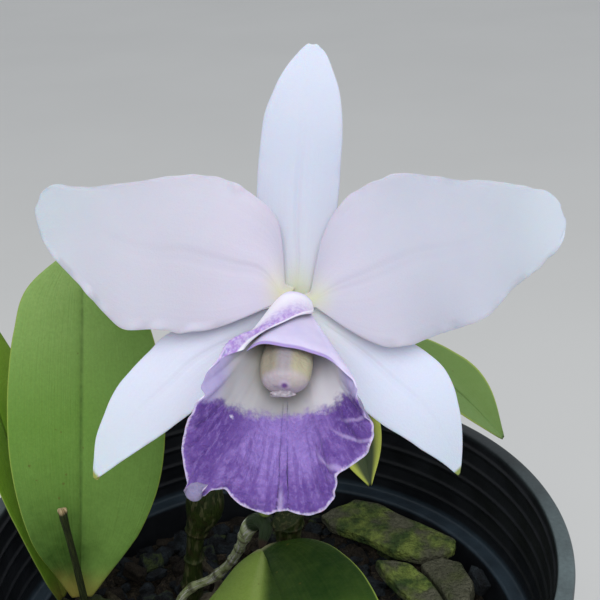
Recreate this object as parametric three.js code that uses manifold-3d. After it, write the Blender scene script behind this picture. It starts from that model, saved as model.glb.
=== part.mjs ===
// A cattleya orchid in bloom, growing in a plastic nursery pot.
// Millimetres, +Z up. The origin is the centre of the pot's underside, and the flower faces -Y.
import * as THREE from 'three';
import { mergeVertices } from 'three/addons/utils/BufferGeometryUtils.js';
import Module from 'manifold-3d';

const wasm = await Module();
wasm.setup();

// ---- driving dimensions ----
const pot = {
  height: 150, rimRadius: 82.5, rimWidth: 4.4, collarHeight: 12, collarStep: 2.6, wall: 2, edge: 1,
  shoulderHeight: 116.5, shoulderRadius: 75, shoulderRise: 3, ledgeWidth: 4.5, baseRadius: 58, floor: 3,
  ribs: 7, ribDepth: 0.5, ribsFromTop: 4, ribsFromLedge: 2, sides: 40,
  drains: 6, drainRadius: 5, drainCircle: 38, drainSides: 10,
};
const medium = {
  level: 110, clearance: 0.4, chips: 44, chipSize: 13, smallest: 0.65, spread: 0.7, lean: 0.7, rise: 0.6,
  seed: 7,
};
const seat = 0.6; // clear distance between a piece and the one it grows from
const flower = { centre: [11.05, -35.12, 236.99], tiltUp: 25.02, roll: -2.37, blade: 0.9 };
const lipAxis = { from: [-0.8, -0.5, 3], direction: [-0.05, -0.63, 0.775] };
const leafForm = { thickness: 1.8, edgeLoss: 0.45, tipLoss: 0.35, flatten: 0.35, crowding: 1.25 };

const colour = {
  plastic: 0x15171a, bark: 0x2b241d, moss: 0x5d6238, cane: 0x59683a, sheath: 0xa9a684,
  leaf: 0x5d8a35, stem: 0x6f7d45, dry: 0x3b2d20, petal: 0xe6e0f0, lip: 0x8a68b8, column: 0xe4e3c8,
  cap: 0xf3eef2,
};

// ---- small tools ----
const vec = (p) => new THREE.Vector3(...p);
const root = new THREE.Group();

function place(name, geometry, tint, roughness, parent = root) {
  const material = new THREE.MeshStandardMaterial({ color: tint, roughness, metalness: 0 });
  const mesh = new THREE.Mesh(geometry, material);
  mesh.name = name;
  parent.add(mesh);
  return mesh;
}

// A repeatable random number from 0 to 1.
function seeded(seed) {
  let state = seed;
  return () => {
    state = (state * 16807) % 2147483647;
    return state / 2147483647;
  };
}

// A smooth function of 0 to 1 through equally spaced values (Catmull-Rom).
function through(values) {
  const last = values.length - 1;
  return (u) => {
    const x = Math.min(Math.max(u, 0), 1) * last;
    const i = Math.min(Math.floor(x), last - 1);
    const f = x - i;
    const p1 = values[i];
    const p2 = values[i + 1];
    const p0 = i > 0 ? values[i - 1] : 2 * p1 - p2;
    const p3 = i + 2 <= last ? values[i + 2] : 2 * p2 - p1;
    const bend = (2 * p0 - 5 * p1 + 4 * p2 - p3) * f ** 2 + (3 * p1 - p0 - 3 * p2 + p3) * f ** 3;
    return 0.5 * (2 * p1 + (p2 - p0) * f + bend);
  };
}

function fromTriangles(points, faces) {
  const geometry = new THREE.BufferGeometry();
  const places = points.flatMap((p) => [p.x, p.y, p.z]);
  geometry.setAttribute('position', new THREE.Float32BufferAttribute(places, 3));
  geometry.setIndex(faces.flat());
  geometry.computeVertexNormals();
  return geometry;
}

function volume(points, faces) {
  return faces.reduce((sum, [a, b, c]) => {
    return sum + points[a].dot(new THREE.Vector3().crossVectors(points[b], points[c])) / 6;
  }, 0);
}

function facingOut(points, faces) {
  const turned = volume(points, faces) < 0;
  return fromTriangles(points, turned ? faces.map(([a, b, c]) => [a, c, b]) : faces);
}

// A closed blade: surface(u, v) with u from 0 to 1 along and v from -1 to 1 across, thickened both
// ways along its normal and split into the same triangles on both faces.
function bladeSolid(surface, along, across, thickness, spacing = (u) => u) {
  const points = [];
  const faces = [];
  const step = 1e-3;
  for (const side of [1, -1]) {
    for (let i = 0; i <= along; i++) {
      for (let j = 0; j <= across; j++) {
        const u = spacing(i / along);
        const v = (2 * j) / across - 1;
        const here = surface(u, v);
        const du = surface(Math.min(u + step, 1), v).sub(surface(Math.max(u - step, 0), v));
        const dv = surface(u, Math.min(v + step, 1)).sub(surface(u, Math.max(v - step, -1)));
        const normal = du.cross(dv).normalize();
        points.push(here.addScaledVector(normal, (side * thickness(u, v)) / 2));
      }
    }
  }
  const row = across + 1;
  const back = (along + 1) * row;
  const at = (i, j) => i * row + j;
  for (let i = 0; i < along; i++) {
    for (let j = 0; j < across; j++) {
      const [a, b, c, d] = [at(i, j), at(i, j + 1), at(i + 1, j + 1), at(i + 1, j)];
      faces.push([a, c, b], [a, d, c]);
      faces.push([back + a, back + b, back + c], [back + a, back + c, back + d]);
    }
  }
  const loop = [];
  for (let j = 0; j < across; j++) loop.push(at(0, j));
  for (let i = 0; i < along; i++) loop.push(at(i, across));
  for (let j = across; j > 0; j--) loop.push(at(along, j));
  for (let i = along; i > 0; i--) loop.push(at(i, 0));
  loop.forEach((a, k) => {
    const b = loop[(k + 1) % loop.length];
    faces.push([a, b, back + b], [a, back + b, back + a]);
  });
  return facingOut(points, faces);
}

// A closed stem along a smooth path, round or oval; radius(u) gives its half width, and flatness
// the share of that across the second direction.
function stemSolid(path, radius, steps, sides, flatness = 1, grow = 0) {
  const curve = new THREE.CatmullRomCurve3(path.map(vec), false, 'centripetal');
  const frames = curve.computeFrenetFrames(steps, false);
  const points = [];
  const faces = [];
  for (let i = 0; i <= steps; i++) {
    const centre = curve.getPointAt(i / steps);
    const r = radius(i / steps) + grow;
    for (let j = 0; j < sides; j++) {
      const angle = (2 * Math.PI * j) / sides;
      const point = centre.clone().addScaledVector(frames.normals[i], r * Math.cos(angle));
      points.push(point.addScaledVector(frames.binormals[i], r * flatness * Math.sin(angle)));
    }
  }
  const tangent = frames.tangents[steps];
  const first = points.push(curve.getPointAt(0).addScaledVector(frames.tangents[0], -grow)) - 1;
  const last = points.push(curve.getPointAt(1).addScaledVector(tangent, grow)) - 1;
  for (let j = 0; j < sides; j++) {
    const next = (j + 1) % sides;
    for (let i = 0; i < steps; i++) {
      const [a, b] = [i * sides + j, i * sides + next];
      faces.push([a, b, b + sides], [a, b + sides, a + sides]);
    }
    faces.push([first, next, j], [last, steps * sides + j, steps * sides + next]);
  }
  return facingOut(points, faces);
}

// The same geometry with only its corner points, each one once.
function welded(geometry) {
  const bare = geometry.clone();
  bare.deleteAttribute('normal');
  bare.deleteAttribute('uv');
  return mergeVertices(bare, 1e-4);
}

function toManifold(geometry) {
  const merged = welded(geometry);
  const vertProperties = Float32Array.from(merged.attributes.position.array);
  const triVerts = Uint32Array.from(merged.index.array);
  return new wasm.Manifold(new wasm.Mesh({ numProp: 3, vertProperties, triVerts }));
}

function fromManifold(solid) {
  const mesh = solid.getMesh();
  const geometry = new THREE.BufferGeometry();
  geometry.setAttribute('position', new THREE.Float32BufferAttribute(mesh.vertProperties, 3));
  geometry.setIndex(new THREE.Uint32BufferAttribute(mesh.triVerts, 1));
  geometry.computeVertexNormals();
  return geometry;
}

function joined(geometries) {
  return geometries.map(toManifold).reduce((whole, solid) => whole.add(solid));
}

// The biggest of the bodies that a cut has left.
function largest(solid) {
  return solid.decompose().sort((a, b) => b.volume() - a.volume())[0];
}

// ---- the pot: rolled rim, collar, ribbed inner band, planting shoulder and tapered wall ----
function shoulderInside() {
  return pot.shoulderRadius - pot.ledgeWidth;
}

// The inner radius of the tapered wall under the shoulder.
function wallInside(z) {
  const foot = pot.baseRadius - pot.wall;
  return foot + ((shoulderInside() - foot) * (z - pot.floor)) / (pot.shoulderHeight - pot.floor);
}

function potProfile() {
  const { height, edge, wall, rimRadius, shoulderRadius, shoulderHeight, baseRadius } = pot;
  const rimInside = rimRadius - pot.rimWidth;
  const collar = height - pot.collarHeight;
  const profile = [[0, 0], [baseRadius - 2 * edge, 0], [baseRadius, 1.5 * edge]];
  profile.push([shoulderInside() + wall, shoulderHeight - wall - pot.shoulderRise]);
  profile.push([shoulderRadius + wall, shoulderHeight - wall]);
  profile.push([rimRadius - pot.collarStep, collar - edge], [rimRadius, collar]);
  profile.push([rimRadius, height - edge], [rimRadius - edge, height]);
  profile.push([rimInside + edge, height], [rimInside, height - edge]);
  const top = height - pot.ribsFromTop;
  const pitch = (top - shoulderHeight - pot.ribsFromLedge) / pot.ribs;
  for (let k = 0; k <= pot.ribs; k++) {
    const z = top - k * pitch;
    const share = (z - shoulderHeight) / (height - shoulderHeight);
    const radius = shoulderRadius + (rimInside - shoulderRadius) * share;
    profile.push([radius, z]);
    if (k < pot.ribs) profile.push([radius - pot.ribDepth, z - pitch / 2]);
  }
  profile.push([shoulderRadius, shoulderHeight], [shoulderInside(), shoulderHeight]);
  profile.push([wallInside(pot.floor), pot.floor], [0, pot.floor]);
  return profile.map(([x, y]) => new THREE.Vector2(x, y));
}

function lathe(profile, sides) {
  return new THREE.LatheGeometry(profile, sides).rotateX(Math.PI / 2);
}

function potGeometry() {
  let solid = toManifold(lathe(potProfile(), pot.sides));
  for (let k = 0; k < pot.drains; k++) {
    const angle = (2 * Math.PI * k) / pot.drains;
    const radius = pot.drainRadius;
    const hole = new THREE.CylinderGeometry(radius, radius, 3 * pot.floor, pot.drainSides);
    hole.rotateX(Math.PI / 2);
    hole.translate(pot.drainCircle * Math.cos(angle), pot.drainCircle * Math.sin(angle), pot.floor / 2);
    solid = solid.subtract(toManifold(hole));
  }
  return fromManifold(solid);
}

// ---- the flower's place on its stalk, and the axis of its lip and column ----
const bloom = new THREE.Group();
bloom.position.set(...flower.centre);
bloom.rotation.x = THREE.MathUtils.degToRad(90 - flower.tiltUp);
bloom.rotation.z = THREE.MathUtils.degToRad(flower.roll);
root.add(bloom);
bloom.updateMatrixWorld();

const axisOut = vec(lipAxis.direction).normalize();
const axisUp = new THREE.Vector3(0, 1, 0).addScaledVector(axisOut, -axisOut.y).normalize();
const axisRight = new THREE.Vector3().crossVectors(axisUp, axisOut);

function fromLipAxis(right, up, out) {
  const aside = vec(lipAxis.from).addScaledVector(axisRight, right).addScaledVector(axisUp, up);
  return aside.addScaledVector(axisOut, out);
}

function onLipAxis(out) {
  return fromLipAxis(0, 0, out).toArray();
}

// A point of the flower's own frame, in the pot's frame.
function bloomPoint(x, y, z) {
  return new THREE.Vector3(x, y, z).applyMatrix4(bloom.matrixWorld).toArray();
}

// ---- leaves: a midrib, the way the upper face looks, and half widths to both sides ----
const leaves = [
  {
    name: 'leaf_front', across: 6, along: 10,
    midrib: [
      [0.2, -29.6, 168], [2.6, -40, 170.6], [6, -54, 172.6],
      [9.5, -78, 173], [12.5, -98, 169], [14.5, -113, 162],
    ],
    face: [-0.2, 0.1, 1],
    left: [2.4, 10.2, 14.4, 16.7, 18.4, 19.5, 19.5, 18.5, 16, 11.5, 0.6],
    right: [1, 7.1, 11.6, 16.9, 18.5, 19, 18.8, 17.8, 15.5, 11.5, 0.6],
    fold: [26, 16, 9, 6, 5, 5, 6, 7, 8, 10, 12],
  },
  {
    name: 'leaf_left', across: 6, along: 10,
    midrib: [
      [-49.2, -14.2, 143.6], [-47.9, -11.4, 160], [-45.9, -6, 183], [-43.8, 1.5, 208], [-41.6, 10, 234.6],
    ],
    face: [0.2, -1, 0.24],
    left: [2.6, 6.4, 10.6, 13.8, 16.2, 17.7, 18.2, 17.9, 16.6, 13.2, 0.8],
    right: [2.8, 7.4, 12.2, 16.6, 19.8, 21.2, 21.2, 20, 17.4, 12.4, 0.8],
    fold: [26, 12, 8, 7, 6, 6, 6, 6, 6, 6, 6],
  },
  {
    name: 'leaf_rear_left', across: 4, along: 10,
    midrib: [[-57.8, -4.4, 134.6], [-60.5, -2, 150], [-66, 2.5, 175], [-72, 9, 199], [-77.5, 15, 220]],
    face: [0.9, -0.45, 0.25],
    left: [1.4, 3.5, 5, 6.6, 8, 9, 9.5, 9, 8, 6, 0.6],
    right: [1.4, 6, 9.6, 11.8, 13, 13.5, 13.2, 12.2, 10.2, 7, 0.6],
    fold: [30, 16, 12, 10, 10, 10, 10, 10, 10, 10, 10],
  },
  {
    name: 'leaf_right', across: 6, along: 10,
    midrib: [
      [7.8, 18.2, 154.6], [10.6, 20, 171], [20, 23, 184.5],
      [36, 25.8, 187.6], [52, 25.6, 181], [68.3, 20, 165.2],
    ],
    face: [-0.4, -0.15, 1],
    left: [1.4, 6, 10, 13.4, 15.6, 16, 15.4, 13.8, 11.4, 7.6, 0.6],
    right: [1.4, 6, 10, 13.6, 16, 16, 14, 11.2, 8, 4.6, 0.6],
    fold: [34, 26, 20, 16, 12, 10, 10, 12, 14, 18, 22],
  },
  {
    name: 'leaf_middle', across: 6, along: 10,
    midrib: [
      [-14.8, 14.2, 161.8], [-7, 10.5, 177], [6, 4, 191],
      [18, -5.5, 197], [24.6, -15, 192.5], [27, -22.6, 180.8],
    ],
    face: [0.1, -0.3, 1],
    left: [1.2, 4, 6.8, 8.6, 9.4, 9.4, 8.8, 7.8, 6, 3.8, 0.5],
    right: [1.2, 4, 6.8, 8.6, 9.8, 10.6, 11, 10.8, 9.6, 6.8, 0.5],
    fold: [34, 28, 24, 22, 22, 24, 27, 30, 33, 36, 40],
  },
];

// The point just short of a leaf's base, where its pseudobulb ends.
function underLeaf(name) {
  const [base, next] = leaves.find((leaf) => leaf.name === name).midrib.map(vec);
  return base.addScaledVector(next.sub(base).normalize(), -seat).toArray();
}

// ---- rhizome, roots, pseudobulbs and old stems ----
const rhizomePath = [
  [-46, -2, 114], [-38, 4, 113.5], [-24, 13.5, 113.5], [-8, 18, 113.5], [8, 19.5, 113.5], [20, 17, 113],
];
const rhizomeRadius = through([2.6, 3.4, 3.1, 3.5, 3, 3.4, 2.4, 1.6]);
const roots = [
  [[-40, 3, 113], [-42, 12, 112.4], [-50, 22, 111.6], [-54, 31, 106]],
  [[-20, 14, 113], [-17, 25, 112.6], [-23, 37, 111.8], [-20, 46, 105]],
  [[0, 18.5, 113], [4, 30, 112.2], [13, 36, 111.4], [15, 45, 105]],
  [[12, 19, 113], [22, 12, 112.4], [28, 2, 111.2], [38, -4, 105]],
  [[-30, 10, 113], [-26, 0, 112.2], [-30, -12, 111.2], [-27, -22, 105]],
];

function rhizomeSolid(grow) {
  const pieces = [stemSolid(rhizomePath, rhizomeRadius, 16, 8, 1, grow)];
  roots.forEach((path) => pieces.push(stemSolid(path, through([1.5, 1.3, 1.2, 0.9]), 6, 5, 1, grow)));
  return joined(pieces);
}

const canes = [
  {
    name: 'pseudobulb_flowering', tint: colour.sheath, sides: 8, steps: 20,
    path: [
      [-28, 10.4, 116.4], [-26.6, 9.2, 121.5], [-23.3, 8.2, 126.2], [-18.2, 6.5, 130.3],
      [-12.8, 2, 138.3], [-9, -4, 147.8], [-6.5, -11, 156.2], [-2.5, -19.6, 168.6],
      [0.2, -22.6, 171.8], [1.2, -24.8, 171.2], [0.3, -27.1, 168.6], underLeaf('leaf_front'),
    ],
    radius: through([1.5, 1.3, 1.2, 1.5, 1.2, 1.5, 1.3, 1.6, 2.1, 2.05, 0.8]),
  },
  {
    name: 'pseudobulb_middle', tint: colour.cane, sides: 10, steps: 12,
    path: [
      [-24, 13.6, 117.4], [-22.8, 14.2, 129], [-21, 14.4, 141], [-18.2, 14.4, 148.7],
      [-17.2, 14.4, 155.6], underLeaf('leaf_middle'),
    ],
    radius: through([2.9, 3.1, 2.8, 2.5, 2.4, 2.6, 3.8, 5.2, 5.4, 4.3, 1.2]),
  },
  {
    name: 'pseudobulb_right', tint: colour.cane, sides: 8, steps: 10,
    path: [[6, 19.4, 117.2], [5.4, 19.2, 130], [6, 18.4, 142], underLeaf('leaf_right')],
    radius: through([2.4, 2.8, 3.2, 3.8, 4.2, 3.6, 1]),
  },
  {
    name: 'pseudobulb_left', tint: colour.cane, sides: 8, steps: 8,
    path: [[-43, 0.4, 117.4], [-44.6, -4, 126], [-47.4, -9.8, 135], underLeaf('leaf_left')],
    radius: through([2.6, 3.2, 3.9, 3.8, 2.9, 1]),
  },
  {
    name: 'pseudobulb_rear_left', tint: colour.cane, sides: 8, steps: 8,
    path: [[-49, 2, 114.5], [-53, 1, 120], [-56.4, -2.6, 127.6], underLeaf('leaf_rear_left')],
    radius: through([2.2, 2.8, 3.2, 2.8, 1.2]),
  },
];

const oldStem = {
  path: [
    [-46.9, -14.9, 134.2], [-46.4, -18.2, 138.5], [-46.8, -20.6, 147], [-48, -19.6, 160],
    [-49.8, -17.8, 174.6],
  ],
  radius: through([1.1, 1, 0.9, 0.85, 0.8, 0.8, 1.15]),
};
const peduncle = {
  path: [
    [0.9, -23.8, 173.9], [4.4, -21.2, 190], [7.6, -19.6, 208], [10.2, -21.5, 224], [11, -27, 233.8],
    [11.02, -31.5, 235.7], bloomPoint(0, 0.1, -1.2), bloomPoint(-0.1, 0.2, 0.8),
    bloomPoint(...onLipAxis(-0.4)), bloomPoint(...onLipAxis(2)),
  ],
  radius: through([2, 1.7, 1.6, 1.6, 1.6, 1.7, 2, 2.4, 2.8, 3, 3.1, 3, 1.6]),
};
const flowerSheath = {
  path: [[2.9, -25, 171.3], [6.8, -23.7, 173.3], [10.2, -22.8, 176]],
  radius: through([1.2, 2.3, 2.4, 1.2]),
};

// ---- growing medium: the filling, with chips of bark and charcoal over its top ----
function mediumGeometry(hollows) {
  const gap = medium.clearance;
  const profile = [[0, pot.floor + gap], [wallInside(pot.floor) - gap, pot.floor + gap],
    [wallInside(medium.level) - gap, medium.level], [0, medium.level]];
  let solid = toManifold(lathe(profile.map(([x, y]) => new THREE.Vector2(x, y)), pot.sides));
  const random = seeded(medium.seed);
  const golden = Math.PI * (3 - Math.sqrt(5));
  for (let k = 0; k < medium.chips; k++) {
    const reach = wallInside(medium.level) - medium.chipSize * 0.95;
    const distance = reach * Math.sqrt((k + 0.5) / medium.chips);
    const angle = k * golden + 0.5 * random();
    const size = medium.chipSize * (medium.smallest + medium.spread * random());
    const chip = welded(new THREE.BoxGeometry(size, 0.75 * size, 0.55 * size));
    const corners = chip.attributes.position;
    for (let i = 0; i < corners.count; i++) {
      const [x, y, z] = [corners.getX(i), corners.getY(i), corners.getZ(i)].map((side) => {
        return side * (medium.smallest + medium.spread * random());
      });
      corners.setXYZ(i, x, y, z);
    }
    chip.rotateX(medium.lean * (random() - 0.5));
    chip.rotateY(medium.lean * (random() - 0.5));
    chip.rotateZ(2 * Math.PI * random());
    const height = medium.level + medium.rise * random();
    chip.translate(distance * Math.cos(angle), distance * Math.sin(angle), height);
    solid = solid.add(toManifold(chip));
  }
  hollows.forEach((hollow) => {
    solid = solid.subtract(hollow);
  });
  return fromManifold(largest(solid));
}

// Flat slabs of old bark that lie on the medium: an outline at a height, tilted about its middle.
const slabEdge = 0.9;
const slabs = [
  {
    name: 'bark_slab_back', thickness: 4.2, height: 113.4, tilt: [0.1, -0.02],
    outline: [
      [15.8, 51.8], [27.4, 58.7], [35.3, 55.9], [45.1, 47.6], [54, 41], [58.6, 36.6],
      [58.3, 33], [54.5, 30.7], [46.5, 29.7], [38.4, 33], [29.7, 40.2], [18.7, 46.7],
    ],
  },
  {
    name: 'bark_slab_front', thickness: 3.8, height: 114.6, tilt: [0.06, 0.1],
    outline: [
      [31.1, 24.8], [36.5, 25.2], [41.8, 24.4], [47.4, 17.4], [50.5, 9], [52.6, 1],
      [49, -3.5], [45, 1.5], [40.7, 8.6], [36.6, 14.8], [33, 20.5],
    ],
  },
  {
    name: 'bark_slab_side', thickness: 5.6, height: 113.2, tilt: [-0.08, -0.12],
    outline: [[45.6, 25.8], [52, 28], [58.4, 24], [60.6, 12.6], [57, 1.4], [53, 2], [50.4, 12.4]],
  },
];

function slabGeometry(slab, grow = 0) {
  const middle = new THREE.Vector2();
  slab.outline.forEach(([x, y]) => middle.add(new THREE.Vector2(x, y).divideScalar(slab.outline.length)));
  const shape = new THREE.Shape(slab.outline.map(([x, y]) => {
    const arm = new THREE.Vector2(x, y).sub(middle);
    return arm.multiplyScalar(1 + grow / arm.length());
  }));
  const bevel = { bevelSize: slabEdge, bevelThickness: slabEdge, bevelSegments: 1, bevelOffset: -slabEdge };
  const depth = slab.thickness + 2 * (grow - slabEdge);
  const geometry = new THREE.ExtrudeGeometry(shape, { depth, ...bevel });
  geometry.translate(0, 0, slabEdge - grow);
  geometry.rotateX(slab.tilt[0]);
  geometry.rotateY(slab.tilt[1]);
  geometry.translate(middle.x, middle.y, slab.height);
  return geometry;
}

// ---- leaf blades ----
function leafSurface(leaf) {
  const midrib = new THREE.CatmullRomCurve3(leaf.midrib.map(vec), false, 'centripetal');
  const [left, right, fold] = [leaf.left, leaf.right, leaf.fold].map(through);
  const face = vec(leaf.face).normalize();
  return (u, v) => {
    const tangent = midrib.getTangent(u);
    const side = new THREE.Vector3().crossVectors(tangent, face).normalize();
    const up = new THREE.Vector3().crossVectors(side, tangent);
    const reach = v < 0 ? v * left(u) : v * right(u);
    const angle = THREE.MathUtils.degToRad(fold(u)) * (1 - leafForm.flatten * Math.abs(v));
    const point = midrib.getPoint(u).addScaledVector(side, reach * Math.cos(angle));
    return point.addScaledVector(up, Math.abs(reach) * Math.sin(angle));
  };
}

function leafGeometry(leaf) {
  const { thickness: full, edgeLoss, tipLoss, crowding } = leafForm;
  const thickness = (u, v) => full * (1 - edgeLoss * v * v) * (1 - tipLoss * u);
  return bladeSolid(leafSurface(leaf), leaf.along, leaf.across, thickness, (u) => u ** crowding);
}

// ---- petals and sepals, flat on the flower's own plane: x right, y up, z out of the face ----
// left is the margin on the left hand when looking from the base to the tip.
// The end is rounded off from the share blunt of the length on.
const tepals = [
  {
    name: 'dorsal_sepal', across: 6, along: 13,
    base: [0.2, 3.5], angle: 86.4, length: 52.1, depth: -1.1, blunt: 0.8,
    left: [3.2, 5.6, 7.9, 9.5, 9.95, 9.9, 9.7, 9.3, 7.6, 5.5, 3.2],
    right: [3.2, 5.4, 6.5, 7.5, 7.75, 7.8, 7.8, 7.5, 6.6, 5.1, 4.3],
    arch: -1.5, recurve: 6, cup: 1.2, ripple: 0, waves: 0,
  },
  {
    name: 'lateral_sepal_left', across: 6, along: 12,
    base: [-2.7, -2.3], angle: 221.6, length: 54.8, depth: -1.2, blunt: 0.96,
    left: [1.6, 2.6, 2.7, 2.6, 2.9, 3.1, 2.8, 2.3, 1.5, 0.8, 0.2],
    right: [1.8, 4.6, 8, 11, 13, 12.8, 12.4, 11.5, 9.1, 5.9, 0.4],
    arch: -1.5, recurve: 7, cup: 1.2, ripple: 0, waves: 0,
  },
  {
    name: 'lateral_sepal_right', across: 6, along: 12,
    base: [2.5, -2.5], angle: 313.2, length: 48.2, depth: -1.2, blunt: 0.96,
    left: [1.8, 4.6, 7.6, 10, 11.7, 12.9, 13.2, 11.8, 9, 5.3, 0.4],
    right: [1.6, 2.6, 3.4, 4.1, 5, 5.4, 4.7, 3.4, 2.3, 1.1, 0.4],
    arch: -1.5, recurve: 7, cup: 1.2, ripple: 0, waves: 0,
  },
  {
    name: 'petal_left', across: 8, along: 14,
    base: [-3.4, 0.6], angle: 158.6, length: 56.2, depth: 0.7, blunt: 0.85,
    left: [1.1, 6.7, 11.6, 14.4, 15.9, 18, 16.2, 13.3, 10.7, 7.9, 4.5],
    right: [3.2, 14.2, 17.6, 18.9, 18.6, 16.6, 13.8, 10.7, 8.1, 6.1, 7],
    arch: 2.4, recurve: 7, cup: 1.5, ripple: 0.8, waves: 2.5,
  },
  {
    name: 'petal_right', across: 8, along: 14,
    base: [3.4, 0.6], angle: 18.9, length: 57.2, depth: 0.7, blunt: 0.85,
    left: [1.4, 10.9, 16.4, 18.6, 19, 17.8, 15.1, 12.7, 10.5, 7.6, 7.2],
    right: [2, 9.6, 14.7, 16, 15.7, 16, 15.2, 12.3, 10.2, 8.2, 6.8],
    arch: 2.4, recurve: 7, cup: 1.5, ripple: 0.9, waves: 2.5,
  },
];
const tepalTip = 0.15; // share of the width that is left at the very end

// A straight midline, half widths to both sides, an arch, a recurved end, a cupped section and a
// rippled margin.
function tepalSurface(tepal) {
  const angle = THREE.MathUtils.degToRad(tepal.angle);
  const along = [Math.cos(angle), Math.sin(angle)];
  const [left, right] = [tepal.left, tepal.right].map(through);
  return (u, v) => {
    const past = Math.max(0, (u - tepal.blunt) / (1 - tepal.blunt));
    const rounded = Math.max(tepalTip, Math.sqrt(Math.max(0, 1 - past ** 3)));
    const reach = (rounded * (left(u) - right(u) + v * (left(u) + right(u)))) / 2;
    const out = tepal.length * u;
    const swell = Math.sin(Math.PI * u);
    const wave = tepal.ripple * Math.sin(2 * Math.PI * tepal.waves * u + v) * Math.abs(v) ** 3 * swell;
    const cup = -tepal.cup * v * v * Math.sin(Math.PI * Math.min(1, 1.2 * u));
    const depth = tepal.depth + tepal.arch * swell - tepal.recurve * u * u + cup + wave;
    const x = tepal.base[0] + along[0] * out - along[1] * reach;
    const y = tepal.base[1] + along[1] * out + along[0] * reach;
    return new THREE.Vector3(x, y, depth);
  };
}

// Rows lie closer together towards both ends.
function tepalRow(share) {
  return 0.5 * share + 0.25 * (1 - Math.cos(Math.PI * share));
}

function tepalGeometry(tepal) {
  return bladeSolid(tepalSurface(tepal), tepal.along, tepal.across, () => flower.blade, tepalRow);
}

// ---- lip and column, set round an axis that leans down out of the flower's face ----
// Each point of the lip's margin is [angle round the axis from straight down, distance from the
// axis, distance along the axis], from the left lobe's corner, round the front, to the hood.
const lipMargin = [
  [-118, 9.7, 19], [-108, 12.7, 21.6], [-103, 14.8, 24.2], [-96, 15.6, 26.9], [-94, 14.4, 28.6],
  [-92, 15.9, 29.8], [-87, 17.3, 31.2], [-78, 18.8, 32.9], [-68, 20.5, 35], [-60, 21.3, 37.4],
  [-54, 20.9, 40.8], [-48, 17.6, 40.2], [-41, 16.6, 39.2], [-32, 17.4, 40], [-21.5, 17.9, 40.6],
  [-9, 18.3, 40.8], [-3, 17.2, 40.1], [4, 17.7, 40.2], [14, 19, 40.6], [24, 18.8, 39.9],
  [33, 17.5, 39], [43, 14.6, 37.2], [51.6, 16.7, 34.6], [60, 17.7, 33.7], [73, 17.4, 32.5],
  [80.6, 16.9, 30.4], [93.4, 13.5, 29.2], [98.6, 14.1, 26.8], [105, 11.5, 23.8], [110, 9, 20.6],
  [128, 6.4, 19.8], [155, 5, 19.2], [180, 4.8, 19], [203, 5.4, 18.6], [224, 6.9, 18.2],
  [248, 8.3, 18.4],
];
// The left flap wraps over the hood up to t = flapEnd, flattened along its top and bulging once.
const lipForm = {
  radius: 2.5, start: 1.6, angles: [-250, -104, 0, 92, 165], overlap: 1.8, overlapEnds: [0.1, 0.24],
  unwinding: 4.2, wrapStart: 0.1, wrapEnd: 0.12, opening: [0.1, 0.1, 0.1, 0.35, 0.1],
  body: [0.5, 0.6, 0.6, 0.9, 0.6], bodyRadius: 7.4, bodyShare: 0.85, flareFrom: 20, flareTo: 36,
  firstAlong: 0.36, secondAlong: 0.7, secondAlongFlared: 0.82, flapEnd: 0.16,
  flatten: { depth: 0.21, at: 0.62, width: 0.21, sharpness: 1.5 }, liftedBody: 0.4,
  bulge: { height: 1.5, acrossAt: 0.035, acrossWidth: 0.022, alongAt: 0.84, alongWidth: 0.1 },
  samples: 72, softening: 4, along: 10, across: 60,
};

// Control curves over t, from 0 at the left corner of the margin to 1 at the hood's hidden end.
function lipCurves() {
  const place3 = ([degrees, radius, along]) => {
    const angle = THREE.MathUtils.degToRad(degrees);
    return new THREE.Vector3(radius * Math.sin(angle), -radius * Math.cos(angle), along);
  };
  const lengths = [0];
  for (let k = 1; k < lipMargin.length; k++) {
    lengths.push(lengths[k - 1] + place3(lipMargin[k]).distanceTo(place3(lipMargin[k - 1])));
  }
  const total = lengths[lengths.length - 1];
  const even = [0, 1, 2].map((item) => {
    const samples = [];
    for (let s = 0; s <= lipForm.samples; s++) {
      const target = (total * s) / lipForm.samples;
      const k = Math.max(1, lengths.findIndex((length) => length >= target - 1e-6));
      const share = (target - lengths[k - 1]) / (lengths[k] - lengths[k - 1]);
      samples.push(lipMargin[k - 1][item] + (lipMargin[k][item] - lipMargin[k - 1][item]) * share);
    }
    return samples;
  });
  const soft = even.map((values) => values.map((_, s) => {
    const near = values.slice(Math.max(0, s - lipForm.softening), s + lipForm.softening + 1);
    return near.reduce((sum, value) => sum + value, 0) / near.length;
  }));
  return { margin: even.map(through), soft: soft.map(through) };
}

const { margin: lipEdge, soft: lipSoft } = lipCurves();
const [lipBaseAngle, lipBody, lipOpening] = [lipForm.angles, lipForm.body, lipForm.opening].map(through);

// A bell of height 1 at the middle.
function bell(x, middle, width) {
  return Math.exp(-(((x - middle) / width) ** 2));
}

// Degrees round the axis: the flap's edge turns slowly, and the rest of the sheet unwinds at once.
function lipAngle(u, t) {
  const { smoothstep, lerp } = THREE.MathUtils;
  const unwound = (1 - Math.exp(-lipForm.unwinding * u)) / (1 - Math.exp(-lipForm.unwinding));
  const wrapped = smoothstep(u, lipForm.wrapStart, 1);
  return lerp(lipBaseAngle(t), lipEdge[0](t), lerp(wrapped, unwound, smoothstep(t, 0, lipForm.wrapEnd)));
}

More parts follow.
